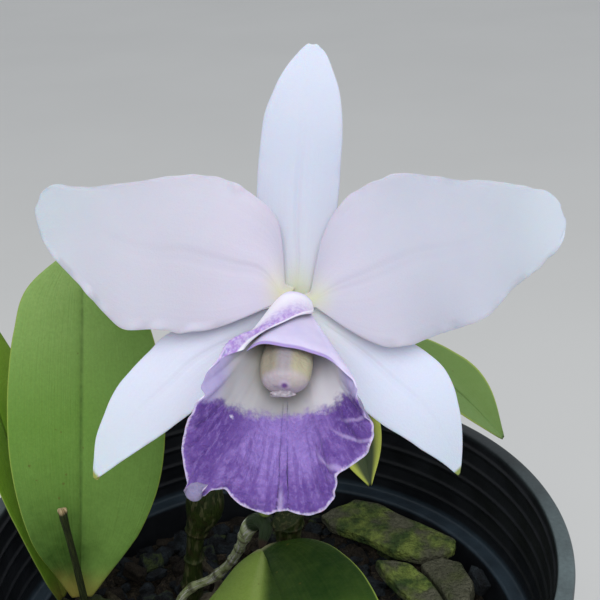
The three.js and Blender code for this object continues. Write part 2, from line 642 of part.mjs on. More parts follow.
// A tube round the axis that unwinds and flares: a cubic curve from its base to its margin.
function lipSurface(u, v) {
  const { smoothstep, lerp, degToRad } = THREE.MathUtils;
  const t = (v + 1) / 2;
  const { radius, overlap, bodyRadius, flatten, bulge, flapEnd } = lipForm;
  const turn = degToRad(lipAngle(u, t));
  const lifted = overlap * (1 - smoothstep(t, ...lipForm.overlapEnds));
  const [radiusSoft, alongSoft] = [lipSoft[1](t), lipSoft[2](t)];
  const flare = smoothstep(alongSoft, lipForm.flareFrom, lipForm.flareTo);
  const body = lerp(radius, radiusSoft, lipBody(t));
  const radii = [
    radius + lifted,
    radius + lifted + lipOpening(t) * (radiusSoft - radius),
    lerp(body, bodyRadius, lipForm.bodyShare * flare) + lipForm.liftedBody * lifted,
    lipEdge[1](t),
  ];
  const second = lerp(lipForm.secondAlong, lipForm.secondAlongFlared, flare);
  const alongs = [lipForm.start, lipForm.firstAlong * alongSoft, second * alongSoft, lipEdge[2](t)];
  const weights = [(1 - u) ** 3, 3 * u * (1 - u) ** 2, 3 * u * u * (1 - u), u ** 3];
  const mix = (values) => values.reduce((sum, value, k) => sum + value * weights[k], 0);
  const above = Math.max(0, -Math.cos(turn)) ** flatten.sharpness;
  const onFlap = smoothstep(flapEnd - t, 0, flapEnd) * above;
  const rise = bell(t, bulge.acrossAt, bulge.acrossWidth) * bell(u, bulge.alongAt, bulge.alongWidth);
  const flat = 1 - flatten.depth * onFlap * bell(u, flatten.at, flatten.width);
  const out = mix(radii) * flat + bulge.height * rise;
  return fromLipAxis(out * Math.sin(turn), -out * Math.cos(turn), mix(alongs));
}

// The column is oval across, widens towards its tip and ends round.
const column = {
  start: 2.6, end: 24.6, tip: 0.5, crowding: 1.4, steps: 12, sides: 12,
  halfWidth: [1.5, 1.9, 2.5, 3.2, 3.9, 4.5, 4.9, 5.1, 5, 4.6, 3.2],
  halfDepth: [1.4, 1.8, 2.2, 2.6, 2.9, 3.1, 3.2, 3.3, 3.3, 3.1, 2.4],
};
const antherCap = { halfWidth: 2.5, halfHeight: 0.9, halfLength: 0.8, below: 0.25 };

function columnGeometry() {
  const [wide, deep] = [column.halfWidth, column.halfDepth].map(through);
  const points = [];
  const faces = [];
  const { steps, sides } = column;
  for (let i = 0; i <= steps; i++) {
    const u = 1 - (1 - i / steps) ** column.crowding;
    const out = column.start + (column.end - column.start) * u;
    for (let j = 0; j < sides; j++) {
      const angle = (2 * Math.PI * j) / sides;
      points.push(fromLipAxis(wide(u) * Math.cos(angle), deep(u) * Math.sin(angle), out));
    }
  }
  const first = points.push(fromLipAxis(0, 0, column.start)) - 1;
  const last = points.push(fromLipAxis(0, 0, column.end + column.tip)) - 1;
  for (let j = 0; j < sides; j++) {
    const next = (j + 1) % sides;
    for (let i = 0; i < steps; i++) {
      const [a, b] = [i * sides + j, i * sides + next];
      faces.push([a, b, b + sides], [a, b + sides, a + sides]);
    }
    faces.push([first, next, j], [last, steps * sides + j, steps * sides + next]);
  }
  return facingOut(points, faces);
}

function antherCapGeometry() {
  const cap = new THREE.SphereGeometry(1, 10, 7);
  cap.scale(antherCap.halfWidth, antherCap.halfHeight, antherCap.halfLength);
  const frame = new THREE.Matrix4().makeBasis(axisRight, axisUp, axisOut);
  const out = column.end + column.tip + seat + antherCap.halfLength;
  frame.setPosition(fromLipAxis(0, -antherCap.below, out));
  return cap.applyMatrix4(frame);
}

// ---- assembly ----
place('pot', potGeometry(), colour.plastic, 0.35);

const grownCanes = canes.map((cane) => {
  return toManifold(stemSolid(cane.path, cane.radius, cane.steps, cane.sides, 1, medium.clearance));
});
const grownSlabs = slabs.map((slab) => toManifold(slabGeometry(slab, medium.clearance)));
const hollows = [rhizomeSolid(medium.clearance), ...grownSlabs, ...grownCanes];
place('growing_medium', mediumGeometry(hollows), colour.bark, 0.95);

const rhizome = grownCanes.reduce((solid, cane) => solid.subtract(cane), rhizomeSolid(0));
place('rhizome', fromManifold(largest(rhizome)), colour.stem, 0.7);
canes.forEach((cane) => {
  place(cane.name, stemSolid(cane.path, cane.radius, cane.steps, cane.sides), cane.tint, 0.6);
});
slabs.forEach((slab) => place(slab.name, slabGeometry(slab), colour.moss, 0.9));
leaves.forEach((leaf) => place(leaf.name, leafGeometry(leaf), colour.leaf, 0.5));
place('old_flower_stem', stemSolid(oldStem.path, oldStem.radius, 9, 6), colour.dry, 0.9);
place('flower_sheath', stemSolid(flowerSheath.path, flowerSheath.radius, 5, 8, 0.6), colour.stem, 0.6);
place('flower_stalk', stemSolid(peduncle.path, peduncle.radius, 26, 8), colour.stem, 0.6);
tepals.forEach((tepal) => place(tepal.name, tepalGeometry(tepal), colour.petal, 0.55, bloom));
const lip = bladeSolid(lipSurface, lipForm.along, lipForm.across, () => flower.blade);
place('lip', lip, colour.lip, 0.6, bloom);
place('column', columnGeometry(), colour.column, 0.5, bloom);
place('anther_cap', antherCapGeometry(), colour.cap, 0.5, bloom);

export default root;
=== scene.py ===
# A cattleya orchid in bloom, in its black nursery pot.
# The tables hold millimetres and degrees; meshes are written in metres.
import itertools
import math

import bpy
import numpy as np
from mathutils import Matrix, Vector


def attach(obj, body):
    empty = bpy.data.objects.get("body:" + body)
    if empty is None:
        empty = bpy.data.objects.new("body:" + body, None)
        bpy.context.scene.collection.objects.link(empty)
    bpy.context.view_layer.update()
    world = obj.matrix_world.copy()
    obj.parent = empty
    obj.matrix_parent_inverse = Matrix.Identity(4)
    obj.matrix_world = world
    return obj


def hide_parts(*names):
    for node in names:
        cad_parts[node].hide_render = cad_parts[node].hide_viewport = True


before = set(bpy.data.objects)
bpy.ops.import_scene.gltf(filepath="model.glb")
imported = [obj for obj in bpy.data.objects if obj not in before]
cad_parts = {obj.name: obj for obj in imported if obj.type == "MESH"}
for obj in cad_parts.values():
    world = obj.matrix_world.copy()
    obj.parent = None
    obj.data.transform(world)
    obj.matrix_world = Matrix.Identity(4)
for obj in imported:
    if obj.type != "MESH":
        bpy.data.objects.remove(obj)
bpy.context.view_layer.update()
millimetre = 0.001


# Curves, noise and meshes

# Catmull-Rom curve through equally spaced values, for u from 0 to 1
def through(values):
    known = np.asarray(values, float)
    last = len(known) - 1

    def value(u):
        place = np.clip(u, 0, 1) * last
        i = np.minimum(place.astype(int), last - 1)
        f = place - i
        p1, p2 = known[i], known[i + 1]
        p0 = np.where(i > 0, known[np.maximum(i - 1, 0)], 2 * p1 - p2)
        p3 = np.where(i + 2 <= last, known[np.minimum(i + 2, last)], 2 * p2 - p1)
        bend = (2 * p0 - 5 * p1 + 4 * p2 - p3) * f**2 + (3 * p1 - p0 - 3 * p2 + p3) * f**3
        return 0.5 * (2 * p1 + (p2 - p0) * f + bend)

    return value


# Centripetal Catmull-Rom curve through points: knots lie apart by the square root of each chord
def smoothPath(points):
    p = np.asarray(points, float)
    last = len(p) - 1
    ends = np.concatenate([[2 * p[0] - p[1]], p, [2 * p[-1] - p[-2]]])
    knots = np.linalg.norm(np.diff(ends, axis=0), axis=1) ** 0.5

    def place(u):
        x = np.clip(u, 0, 1) * last
        i = np.minimum(x.astype(int), last - 1)
        w = (x - i)[..., None]
        p0, p1, p2, p3 = (ends[i + k] for k in range(4))
        d0, d1, d2 = (knots[i + k][..., None] for k in range(3))
        t1 = ((p1 - p0) / d0 - (p2 - p0) / (d0 + d1) + (p2 - p1) / d1) * d1
        t2 = ((p2 - p1) / d1 - (p3 - p1) / (d1 + d2) + (p3 - p2) / d2) * d1
        return p1 + t1 * w + (3 * (p2 - p1) - 2 * t1 - t2) * w**2 + (2 * (p1 - p2) + t1 + t2) * w**3

    return place


# The same curve with u as the share of its length
def evenly(place):
    fine = np.linspace(0, 1, 401)
    steps = np.linalg.norm(np.diff(place(fine), axis=0), axis=1)
    travelled = np.concatenate([[0], np.cumsum(steps)])
    return lambda u: place(np.interp(u, travelled / travelled[-1], fine))


# Vectors divided by their lengths
def unit(vectors):
    return vectors / np.maximum(np.linalg.norm(vectors, axis=-1, keepdims=True), 1e-12)


# 0 up to start and 1 past end, with 3s² - 2s³ of the share s between; start may be the larger
def ease(start, end, x):
    share = np.clip((x - start) / (end - start), 0, 1)
    return share * share * (3 - 2 * share)


# A bell of height 1 at the middle: e to the minus square of the distance over the width
def bell(x, middle, width):
    return np.exp(-(((x - middle) / width) ** 2))


# 1 in the middle, falling round to 0 at -1 and 1, as the root of 1 - |x|^sharpness
def rounding(x, sharpness):
    return np.sqrt(np.maximum(0, 1 - np.abs(x) ** sharpness))


# Lattice noise from -1 to 1: a hashed value at the eight corners of each cell, mixed by eased shares
def noise(points, size, seed=0):
    scaled = points / size
    cell = np.floor(scaled).astype(np.int64)
    share = scaled - cell
    share = share * share * (3 - 2 * share)
    total = np.zeros(points.shape[:-1])
    for corner in itertools.product((0, 1), repeat=3):
        at = cell + np.array(corner)
        mixed = (at[..., 0] * 73856093) ^ (at[..., 1] * 19349663) ^ (at[..., 2] * 83492791)
        mixed = (mixed + seed * 40503) * 1274126177
        mixed = (mixed ^ (mixed >> 15)) * 668265263
        value = ((mixed ^ (mixed >> 13)) & 65535) / 32767.5 - 1
        total += value * np.prod(np.where(np.array(corner) == 1, share, 1 - share), axis=-1)
    return total


# Noise at three sizes, each half as large and half as strong as the one before
def roughness(points, size, seed=0):
    return sum(noise(points, size / 2**k, seed + k) / 2**k for k in range(3))


# Two triangles for each cell of a grid, as (row, column) of their corners
def gridCells(rows, columns, closed=False):
    across = columns if closed else columns - 1
    row, column = np.meshgrid(np.arange(rows - 1), np.arange(across), indexing="ij")
    cell = np.stack([row, column], -1).reshape(-1, 1, 2)
    corners = np.array([[0, 0], [1, 0], [1, 1], [0, 0], [1, 1], [0, 1]])
    return (cell + corners).reshape(-1, 3, 2)


# A closed blade: both faces lie half a thickness off the middle sheet along its normal, and share
# the points of its margin. middle is a grid of points, with u along its rows and v along its columns.
def bladeShell(middle, half, u, v, values=None):
    rows, columns = middle.shape[:2]
    normal = unit(np.cross(np.gradient(middle, axis=0), np.gradient(middle, axis=1)))
    front = middle + normal * half[..., None]
    back = middle - normal * half[..., None]
    number = np.arange(rows * columns).reshape(rows, columns)
    inner = np.zeros((rows, columns), bool)
    inner[1:-1, 1:-1] = True
    backNumber = number.copy()
    backNumber[inner] = rows * columns + np.arange(inner.sum())
    cells = gridCells(rows, columns)
    uv = np.stack([u[cells[..., 0]], v[cells[..., 1]]], -1)
    frontFaces = number[cells[..., 0], cells[..., 1]]
    backFaces = backNumber[cells[..., 0], cells[..., 1]][:, ::-1]
    return {
        "points": np.concatenate([front.reshape(-1, 3), back[inner]]),
        "faces": np.concatenate([frontFaces, backFaces]),
        "uv": np.concatenate([uv, uv[:, ::-1]]),
        "back": np.repeat([0.0, 1.0], len(cells)),
        "values": {key: np.concatenate([grid.ravel(), grid[inner]]) for key, grid in (values or {}).items()},
    }


# A closed body of rings, with a pole at either end; u runs along it and v round it
def ringShell(rings, poles, u):
    rows, sides = rings.shape[:2]
    cells = gridCells(rows, sides, closed=True)
    v = np.linspace(0, 1, sides + 1)
    faces = [cells[..., 0] * sides + cells[..., 1] % sides]
    uv = [np.stack([u[cells[..., 0]], v[cells[..., 1]]], -1)]
    side = np.arange(sides)
    after = (side + 1) % sides
    for pole, row, turn in ((0, 0, -1), (1, rows - 1, 1)):
        fan = np.stack([row * sides + side, np.full(sides, rows * sides + pole), row * sides + after], -1)
        fanUv = np.stack([np.full((sides, 3), u[row]), np.stack([v[side], v[side], v[side + 1]], -1)], -1)
        faces.append(fan[:, ::turn])
        uv.append(fanUv[:, ::turn])
    faces = np.concatenate(faces)
    points = np.concatenate([rings.reshape(-1, 3), np.asarray(poles, float)])
    return {"points": points, "faces": faces, "uv": np.concatenate(uv), "back": np.zeros(len(faces))}


# A stem: rings of radius(u, angle) square to a smooth path
def stemShell(path, radius, steps, sides, side, flatness=1, shift=None):
    u = np.linspace(0, 1, steps + 1)
    centre = evenly(smoothPath(path))(u)
    along = unit(np.gradient(centre, axis=0))
    first = unit(np.cross(np.asarray(side, float), along))
    second = np.cross(along, first)
    angle = 2 * np.pi * np.arange(sides) / sides
    spread = np.maximum(radius(u[:, None], angle[None, :]) * rounding(2 * u - 1, 40)[:, None], 0.02)
    across = first[:, None] * np.cos(angle)[None, :, None]
    upright = second[:, None] * np.sin(angle)[None, :, None]
    rings = centre[:, None] + spread[..., None] * (across + flatness * upright)
    if shift is not None:
        rings = rings + (across + upright) * shift(rings)[..., None]
    return ringShell(rings, [centre[0], centre[-1]], u)


# A profile of [radius, height], turned about the z axis
def latheShell(profile, sides):
    ends, ring = profile[[0, -1]], profile[1:-1]
    angle = 2 * np.pi * np.arange(sides) / sides
    rings = np.stack([
        ring[:, :1] * np.cos(angle), ring[:, :1] * np.sin(angle), np.repeat(ring[:, 1:], sides, 1),
    ], -1)
    return ringShell(rings, [[0, 0, ends[0][1]], [0, 0, ends[1][1]]], np.linspace(0, 1, len(ring)))


# Several shells as one, with each one's faces counted on from the points before it
def joinShells(shells):
    starts = np.cumsum([0] + [len(shell["points"]) for shell in shells[:-1]])
    joined = {key: np.concatenate([shell[key] for shell in shells]) for key in ("points", "uv", "back")}
    joined["faces"] = np.concatenate([shell["faces"] + start for shell, start in zip(shells, starts)])
    return joined


# Whether a shell's faces point inwards: its signed volume is then negative
def insideOut(shell):
    a, b, c = (shell["points"][shell["faces"][:, k]] for k in range(3))
    return np.einsum("ij,ij->", a, np.cross(b, c)) < 0


# A shell's faces, all turned over where it is inside out
def outwardFaces(shell):
    return shell["faces"][:, ::-1] if insideOut(shell) else shell["faces"]


# bark_slab_back becomes barkSlabBack
def pieceName(node):
    words = node.split("_")
    return words[0] + "".join(word.capitalize() for word in words[1:])


# Puts a shell into a mesh with its UV map and values, lays it on its body and in its node's stead
def makePiece(node, shell, material, flat=False):
    name = pieceName(node)
    faces = outwardFaces(shell)
    uv = shell["uv"][:, ::-1] if insideOut(shell) else shell["uv"]
    mesh = bpy.data.meshes.new(name)
    mesh.from_pydata((shell["points"] * millimetre).tolist(), [], faces.tolist())
    mesh.uv_layers.new(name="shape").data.foreach_set("uv", uv.astype(np.float32).ravel())
    back = mesh.attributes.new("back", "FLOAT", "CORNER")
    back.data.foreach_set("value", np.repeat(shell["back"], 3).astype(np.float32))
    for key, values in shell.get("values", {}).items():
        mesh.attributes.new(key, "FLOAT", "POINT").data.foreach_set("value", values.astype(np.float32))
    mesh.materials.append(material)
    if flat:
        mesh.shade_flat()
    else:
        mesh.shade_smooth()
    piece = bpy.data.objects.new(name, mesh)
    bpy.context.scene.collection.objects.link(piece)
    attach(piece, "root")
    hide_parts(node)
    return piece


# Shader helpers

# A colour picked as display values from 0 to 255, as the linear colour that shaders take
def paint(red, green, blue):
    display = np.array([red, green, blue]) / 255
    linear = np.where(display <= 0.04045, display / 12.92, ((display + 0.055) / 1.055) ** 2.4)
    return (*linear.tolist(), 1.0)


# What a socket of a node tree puts out; arithmetic with it adds the Math nodes that work it out
class Field:
    def __init__(self, tree, socket):
        self.tree = tree
        self.socket = socket

    def __add__(self, other):
        return calculate("ADD", self, other)

    def __mul__(self, other):
        return calculate("MULTIPLY", self, other)

    def __sub__(self, other):
        return calculate("SUBTRACT", self, other)

    def __rsub__(self, other):
        return calculate("SUBTRACT", other, self)

    def __rtruediv__(self, other):
        return calculate("DIVIDE", other, self)

    def __abs__(self):
        return calculate("ABSOLUTE", self)

    __radd__ = __add__
    __rmul__ = __mul__


# Links fields to a node's inputs, and sets other values on the inputs' own sockets
def fillInputs(node, inputs):
    for key, value in inputs.items() if isinstance(inputs, dict) else enumerate(inputs):
        if isinstance(value, Field):
            value.tree.links.new(value.socket, node.inputs[key])
        else:
            node.inputs[key].default_value = value


# Adds a shader node with its settings and inputs, and returns one of its outputs as a field
def addNode(tree, kind, inputs=(), output=0, **settings):
    node = tree.nodes.new("ShaderNode" + kind)
    for key, value in settings.items():
        setattr(node, key, value)
    fillInputs(node, inputs)
    return Field(tree, node.outputs[output])


# The node tree of the first field among some values
def treeOf(values):
    return next(value.tree for value in values if isinstance(value, Field))


# A Math node on fields and numbers
def calculate(operation, *values):
    return addNode(treeOf(values), "Math", values, operation=operation)


# The second colour over the first one, by a share from 0 to 1
def blend(share, first, second):
    tree = treeOf((share, first, second))
    return addNode(tree, "Mix", {0: share, 6: first, 7: second}, 2, data_type="RGBA")


# Several colours over a first one, each by its own share
def layered(colour, *layers):
    for share, tone in layers:
        colour = blend(share, colour, tone)
    return colour


# 0 up to start and 1 past end, eased between; start may be the larger
def mask(value, start, end):
    return addNode(value.tree, "MapRange", (value, start, end, 0.0, 1.0), interpolation_type="SMOOTHSTEP")


# A straight ramp from low at start to high at end, level outside them
def ramp(value, start, end, low, high):
    return addNode(value.tree, "MapRange", (value, start, end, low, high))


# 1 within inner of a place on the value's own scale, 0 from the given reach away
def near(value, place, reach, inner=0.0):
    return mask(abs(value - place), reach, inner)


# A value that the mesh carries under a name
def readValue(tree, name):
    return addNode(tree, "Attribute", (), 2, attribute_name=name)


# The place in the object's own frame, in metres
def objectPlace(tree):
    return addNode(tree, "TexCoord", (), 3)


# The x, y or z of a place, as its part 0, 1 or 2
def onePart(place, part):
    return addNode(place.tree, "SeparateXYZ", (place,), part)


# Position along and across the piece's own surface, each from 0 to 1
def shapePlace(tree):
    place = addNode(tree, "UVMap", (), uv_map="shape")
    return onePart(place, 0), onePart(place, 1)


# A shader node group with named inputs and one output; an input without a number takes a place
def makeGroup(name, inputs, output, kind, build):
    group = bpy.data.node_groups.new(name, "ShaderNodeTree")
    for key, value in inputs.items():
        socketKind = "NodeSocketVector" if value is None else "NodeSocketFloat"
        socket = group.interface.new_socket(name=key, in_out="INPUT", socket_type=socketKind)
        if value is not None:
            socket.default_value = value
    group.interface.new_socket(name=output, in_out="OUTPUT", socket_type=kind)
    start = group.nodes.new("NodeGroupInput")
    end = group.nodes.new("NodeGroupOutput")
    made = build(*[Field(group, start.outputs[key]) for key in inputs])
    group.links.new(made.socket, end.inputs[output])
    return group


# Clouds: noise over a place, stretched to a contrast round one half
def buildClouds(place, scale, contrast):
    inputs = {"Vector": place, "Scale": scale, "Detail": 3.0, "Roughness": 0.55}
    return mask(addNode(place.tree, "TexNoise", inputs), 0.5 - 0.25 / contrast, 0.5 + 0.25 / contrast)


# Streaks: noise that runs long along the surface and is fine across it
def buildStreaks(along, across, length, count, draw):
    place = addNode(along.tree, "CombineXYZ", (along * length, across * count, draw))
    inputs = {"Vector": place, "Scale": 1.0, "Detail": 2.0, "Roughness": 0.6}
    return mask(addNode(along.tree, "TexNoise", inputs), 0.32, 0.68)


# Relief: a height over the surface, times a depth in metres, as a normal
def buildRelief(height, depth):
    return addNode(height.tree, "Bump", {"Strength": 1.0, "Distance": depth, "Height": height})


clouds = makeGroup(
    "clouds", {"Place": None, "Scale": 100.0, "Contrast": 1.0}, "Cloud", "NodeSocketFloat", buildClouds,
)
streaks = makeGroup(
    "streaks", {"Along": 0.0, "Across": 0.0, "Length": 2.0, "Count": 60.0, "Draw": 0.0},
    "Streak", "NodeSocketFloat", buildStreaks,
)
relief = makeGroup("relief", {"Height": 0.0, "Depth": 0.0005}, "Normal", "NodeSocketVector", buildRelief)


# The clouds over the object's own place
def cloudy(tree, scale, contrast):
    inputs = {"Place": objectPlace(tree), "Scale": scale, "Contrast": contrast}
    return addNode(tree, "Group", inputs, node_tree=clouds)


# The streaks along the piece's own surface; another draw gives other streaks
def streaky(tree, length, count, draw):
    along, across = shapePlace(tree)
    inputs = {"Along": along, "Across": across, "Length": length, "Count": count, "Draw": draw}
    return addNode(tree, "Group", inputs, node_tree=streaks)


# Distance to the nearest of many scattered points
def scattered(tree, scale):
    return addNode(tree, "TexVoronoi", {"Vector": objectPlace(tree), "Scale": scale})


# A material with what stays the same over its surface
def newMaterial(name, finish):
    material = bpy.data.materials.new(name)
    material.use_nodes = True
    fillInputs(material.node_tree.nodes["Principled BSDF"], finish)
    return material, material.node_tree


# Links what changes over the surface to the material's shader
def finishMaterial(material, colour, height=None, depth=0.0, rough=None):
    changing = {"Base Color": colour}
    if height is not None:
        inputs = {"Height": height, "Depth": depth}
        changing["Normal"] = addNode(material.node_tree, "Group", inputs, node_tree=relief)
    if rough is not None:
        changing["Roughness"] = rough
    fillInputs(material.node_tree.nodes["Principled BSDF"], changing)
    return material


# Camera, lights and floor
view = {"place": [11.9, -234.4, 330.2], "down": 25.02, "roll": -2.37, "lens": 63, "sensor": 36}
light = {
    "sky": 0.56, "skyTint": (0.93, 0.96, 1.0, 1.0),
    "key": 5.2, "keyPlace": [30, -600, 880], "keySize": 700, "keyTarget": [0, 0, 200],
}
floorPlate = {"half": 8000, "tones": [paint(222, 222, 220), paint(228, 228, 226)]}


# Turn about x, then about the turned z, as a matrix of columns
def tiltAndRoll(tilt, roll):
    a, b = math.radians(tilt), math.radians(roll)
    aboutX = np.array([[1, 0, 0], [0, math.cos(a), -math.sin(a)], [0, math.sin(a), math.cos(a)]])
    aboutZ = np.array([[math.cos(b), -math.sin(b), 0], [math.sin(b), math.cos(b), 0], [0, 0, 1]])
    return aboutX @ aboutZ


# A camera that looks down by an angle and is rolled a little
def makeCamera():
    data = bpy.data.cameras.new("camera")
    data.lens = view["lens"]
    data.sensor_width = view["sensor"]
    data.clip_start = 0.01
    data.clip_end = 20
    camera = bpy.data.objects.new("camera", data)
    placed = np.eye(4)
    placed[:3, :3] = tiltAndRoll(90 - view["down"], view["roll"])
    placed[:3, 3] = np.array(view["place"]) * millimetre
    camera.matrix_world = Matrix(placed.tolist())
    bpy.context.scene.collection.objects.link(camera)
    bpy.context.scene.camera = camera


# An even sky, and a round soft lamp turned towards its target
def makeLights():
    world = bpy.data.worlds.new("studio")
    world.use_nodes = True
    fillInputs(world.node_tree.nodes["Background"], {"Color": light["skyTint"], "Strength": light["sky"]})
    bpy.context.scene.world = world
    bpy.context.scene.view_settings.view_transform = "Standard"

    lamp = bpy.data.lights.new("softbox", "AREA")
    lamp.shape = "DISK"
    lamp.size = light["keySize"] * millimetre
    lamp.energy = light["key"]
    softbox = bpy.data.objects.new("softbox", lamp)
    place, target = (np.array(light[key]) * millimetre for key in ("keyPlace", "keyTarget"))
    softbox.location = place
    softbox.rotation_mode = "QUATERNION"
    softbox.rotation_quaternion = Vector(target - place).to_track_quat("-Z", "Y")
    bpy.context.scene.collection.objects.link(softbox)


# A wide square at the foot's level, in two pale tones
def makeFloor():
    half = floorPlate["half"] * millimetre
    mesh = bpy.data.meshes.new("floor")
    corners = [(-half, -half, 0), (half, -half, 0), (half, half, 0), (-half, half, 0)]
    mesh.from_pydata(corners, [], [(0, 1, 2, 3)])
    floor = bpy.data.objects.new("floor", mesh)
    bpy.context.scene.collection.objects.link(floor)
    material, tree = newMaterial("paleFloor", {"Roughness": 0.9, "Specular IOR Level": 0.2})
    mesh.materials.append(finishMaterial(material, blend(cloudy(tree, 3.0, 0.6), *floorPlate["tones"])))


makeCamera()
makeLights()
makeFloor()
print("studio ready")

# The pot
pot = {
    "height": 150, "rimRadius": 82.5, "rimWidth": 4.4, "collarHeight": 12, "collarStep": 2.6, "edge": 1,
    "shoulderHeight": 116.5, "shoulderRadius": 75, "shoulderRise": 3, "ledgeWidth": 4.5,
    "baseRadius": 58, "wall": 2, "floor": 3, "footRound": 1.0, "rimRound": 1.3, "ledgeRound": 0.9,
    "ribs": 5, "ribDepth": 0.55, "ribsFromTop": 1.2, "ribsFromLedge": 2.8, "ribSharpness": 8,
    "bandsFrom": 6, "bandsBelowTop": 4, "bandPitch": 9, "bandDepth": 0.25, "bandWidth": 1.1,
    "drains": 6, "drainRadius": 5, "drainCircle": 38, "drainSides": 40,
    "sides": 224, "wallRows": 100, "rowsPerRib": 16,
    # heights of the rim's bloom and painted sheen and of the ledge's painted sky reflection, and where
    # painted shade dims the rim towards the back, in metres
    "crown": [0.1483, 0.1499], "ledgeFrom": [0.1152, 0.116], "ledgeTo": [0.119, 0.1172],
    "backFade": [-0.01, 0.035],
    "plastic": [paint(16, 18, 22), paint(28, 31, 36)], "bloom": [paint(84, 96, 98), paint(104, 118, 120)],
    "ledgeSheen": paint(52, 68, 80),
}
shoulderInside = pot["shoulderRadius"] - pot["ledgeWidth"]


# The inner wall's radius at a height, on a straight line from the floor to the ledge
def wallInside(z):
    foot = pot["baseRadius"] - pot["wall"]
    return foot + (shoulderInside - foot) * (z - pot["floor"]) / (pot["shoulderHeight"] - pot["floor"])


# Rounds every corner of an outline: each is cut back and bridged by a quadratic arc
def roundedOutline(corners, radius, steps=4):
    p = np.asarray(corners, float)
    before, after = p[:-2] - p[1:-1], p[2:] - p[1:-1]
    reach = np.minimum(np.linalg.norm(before, axis=1), np.linalg.norm(after, axis=1)) * 0.45
    cut = np.minimum(radius, reach)[:, None]
    first, last = p[1:-1] + unit(before) * cut, p[1:-1] + unit(after) * cut
    w = np.linspace(0, 1, steps + 1)[None, :, None]
    arcs = first[:, None] * (1 - w) ** 2 + 2 * p[1:-1][:, None] * w * (1 - w) + last[:, None] * w**2
    return np.concatenate([p[:1], arcs.reshape(-1, 2), p[-1:]])


# The pot's section: foot, tapered wall with faint bands, shoulder, collar, rolled rim, a waved
# inner band, the ledge and the inner wall
def potProfile():
    height, edge, wall = pot["height"], pot["edge"], pot["wall"]
    shoulder, rim = pot["shoulderHeight"], pot["rimRadius"]
    rimInside = rim - pot["rimWidth"]
    collar = height - pot["collarHeight"]
    foot = [[0, 0], [pot["baseRadius"] - 2 * edge, 0], [pot["baseRadius"], 1.5 * edge]]
    top = shoulder - wall - pot["shoulderRise"]
    z = np.linspace(pot["bandsFrom"], top - pot["bandsBelowTop"], pot["wallRows"])
    share = (z - 1.5 * edge) / (top - 1.5 * edge)
    radius = pot["baseRadius"] + (shoulderInside + wall - pot["baseRadius"]) * share
    radius -= pot["bandDepth"] * bell(np.mod(z, pot["bandPitch"]), pot["bandPitch"] / 2, pot["bandWidth"])
    wallRows = np.stack([radius, z], -1)
    upper = [[shoulderInside + wall, top], [pot["shoulderRadius"] + wall, shoulder - wall]]
    upper += [[rim - pot["collarStep"], collar - edge], [rim, collar], [rim, height], [rimInside, height]]
    ribTop = height - pot["ribsFromTop"]
    low = shoulder + pot["ribsFromLedge"]
    z = np.linspace(ribTop, low, pot["ribs"] * pot["rowsPerRib"] + 1)
    wave = 0.5 - 0.5 * np.cos(2 * np.pi * pot["ribs"] * (ribTop - z) / (ribTop - low))
    slope = pot["shoulderRadius"] + (rimInside - pot["shoulderRadius"]) * (z - shoulder) / (height - shoulder)
    ribRows = np.stack([slope - pot["ribDepth"] * wave ** pot["ribSharpness"], z], -1)
    inner = [[pot["shoulderRadius"], shoulder], [shoulderInside, shoulder]]
    inner += [[wallInside(pot["floor"]), pot["floor"]], [0, pot["floor"]]]
    outer = roundedOutline(np.concatenate([foot, wallRows[:1]]), pot["footRound"])[:-1]
    middle = roundedOutline(np.concatenate([wallRows[-1:], upper, ribRows[:1]]), pot["rimRound"])[1:-1]
    last = roundedOutline(np.concatenate([ribRows[-1:], inner]), pot["ledgeRound"])[1:]
    return np.concatenate([outer, wallRows, middle, ribRows, last])


# Plastic: black under clouded dust, with a chalky bloom on the rim's crown that is partly painted sky
# sheen and is dimmed at the back by painted shade, and a painted bluish sky reflection on the ledge
def potMaterial():
    material, tree = newMaterial("blackNurseryPlastic", {"Specular IOR Level": 0.32})
    behind, height = onePart(objectPlace(tree), 1), onePart(objectPlace(tree), 2)
    dusty, fine = cloudy(tree, 90, 0.9), cloudy(tree, 900, 0.8)
    # the rim's crown: worn bloom and painted sky sheen, with less of it towards the back as painted shade
    wornAndSheen = mask(height, *pot["crown"]) * (0.72 + 0.28 * fine) * ramp(behind, *pot["backFade"], 1.0, 0.2)
    # painted bluish sky reflection on the ledge
    onLedge = mask(height, *pot["ledgeFrom"]) * mask(height, *pot["ledgeTo"])
    colour = layered(
        blend(dusty, *pot["plastic"]),
        (wornAndSheen, blend(dusty, *pot["bloom"])),
        (onLedge * (0.35 + 0.4 * dusty), pot["ledgeSheen"]),
    )
    return finishMaterial(material, colour, fine, 0.00004, ramp(dusty, 0.0, 1.0, 0.38, 0.55))


# The pot is turned, and its drain holes are cut by cylinders that stand in a circle
def makePot():
    piece = makePiece("pot", latheShell(potProfile(), pot["sides"]), potMaterial())
    radius, below, above = pot["drainRadius"], -pot["floor"], pot["floor"] + 5
    section = np.array([[0, below], [radius, below], [radius, above], [0, above]], float)
    drill = latheShell(section, pot["drainSides"])
    cutters = []
    for k in range(pot["drains"]):
        angle = 2 * math.pi * k / pot["drains"]
        aside = pot["drainCircle"] * np.array([math.cos(angle), math.sin(angle), 0])
        cutters.append({**drill, "points": drill["points"] + aside})
    cutter = joinShells(cutters)
    mesh = bpy.data.meshes.new("drains")
    mesh.from_pydata((cutter["points"] * millimetre).tolist(), [], outwardFaces(cutter).tolist())
    drains = bpy.data.objects.new("drains", mesh)
    bpy.context.scene.collection.objects.link(drains)
    cut = piece.modifiers.new("drains", "BOOLEAN")
    cut.operation = "DIFFERENCE"
    cut.object = drains
    cut.solver = "EXACT"
    finished = bpy.data.meshes.new_from_object(piece.evaluated_get(bpy.context.evaluated_depsgraph_get()))
    piece.modifiers.clear()
    piece.data = finished
    finished.set_sharp_from_angle(angle=math.radians(50))
    bpy.data.objects.remove(drains)


makePot()
print("pot turned and drilled")

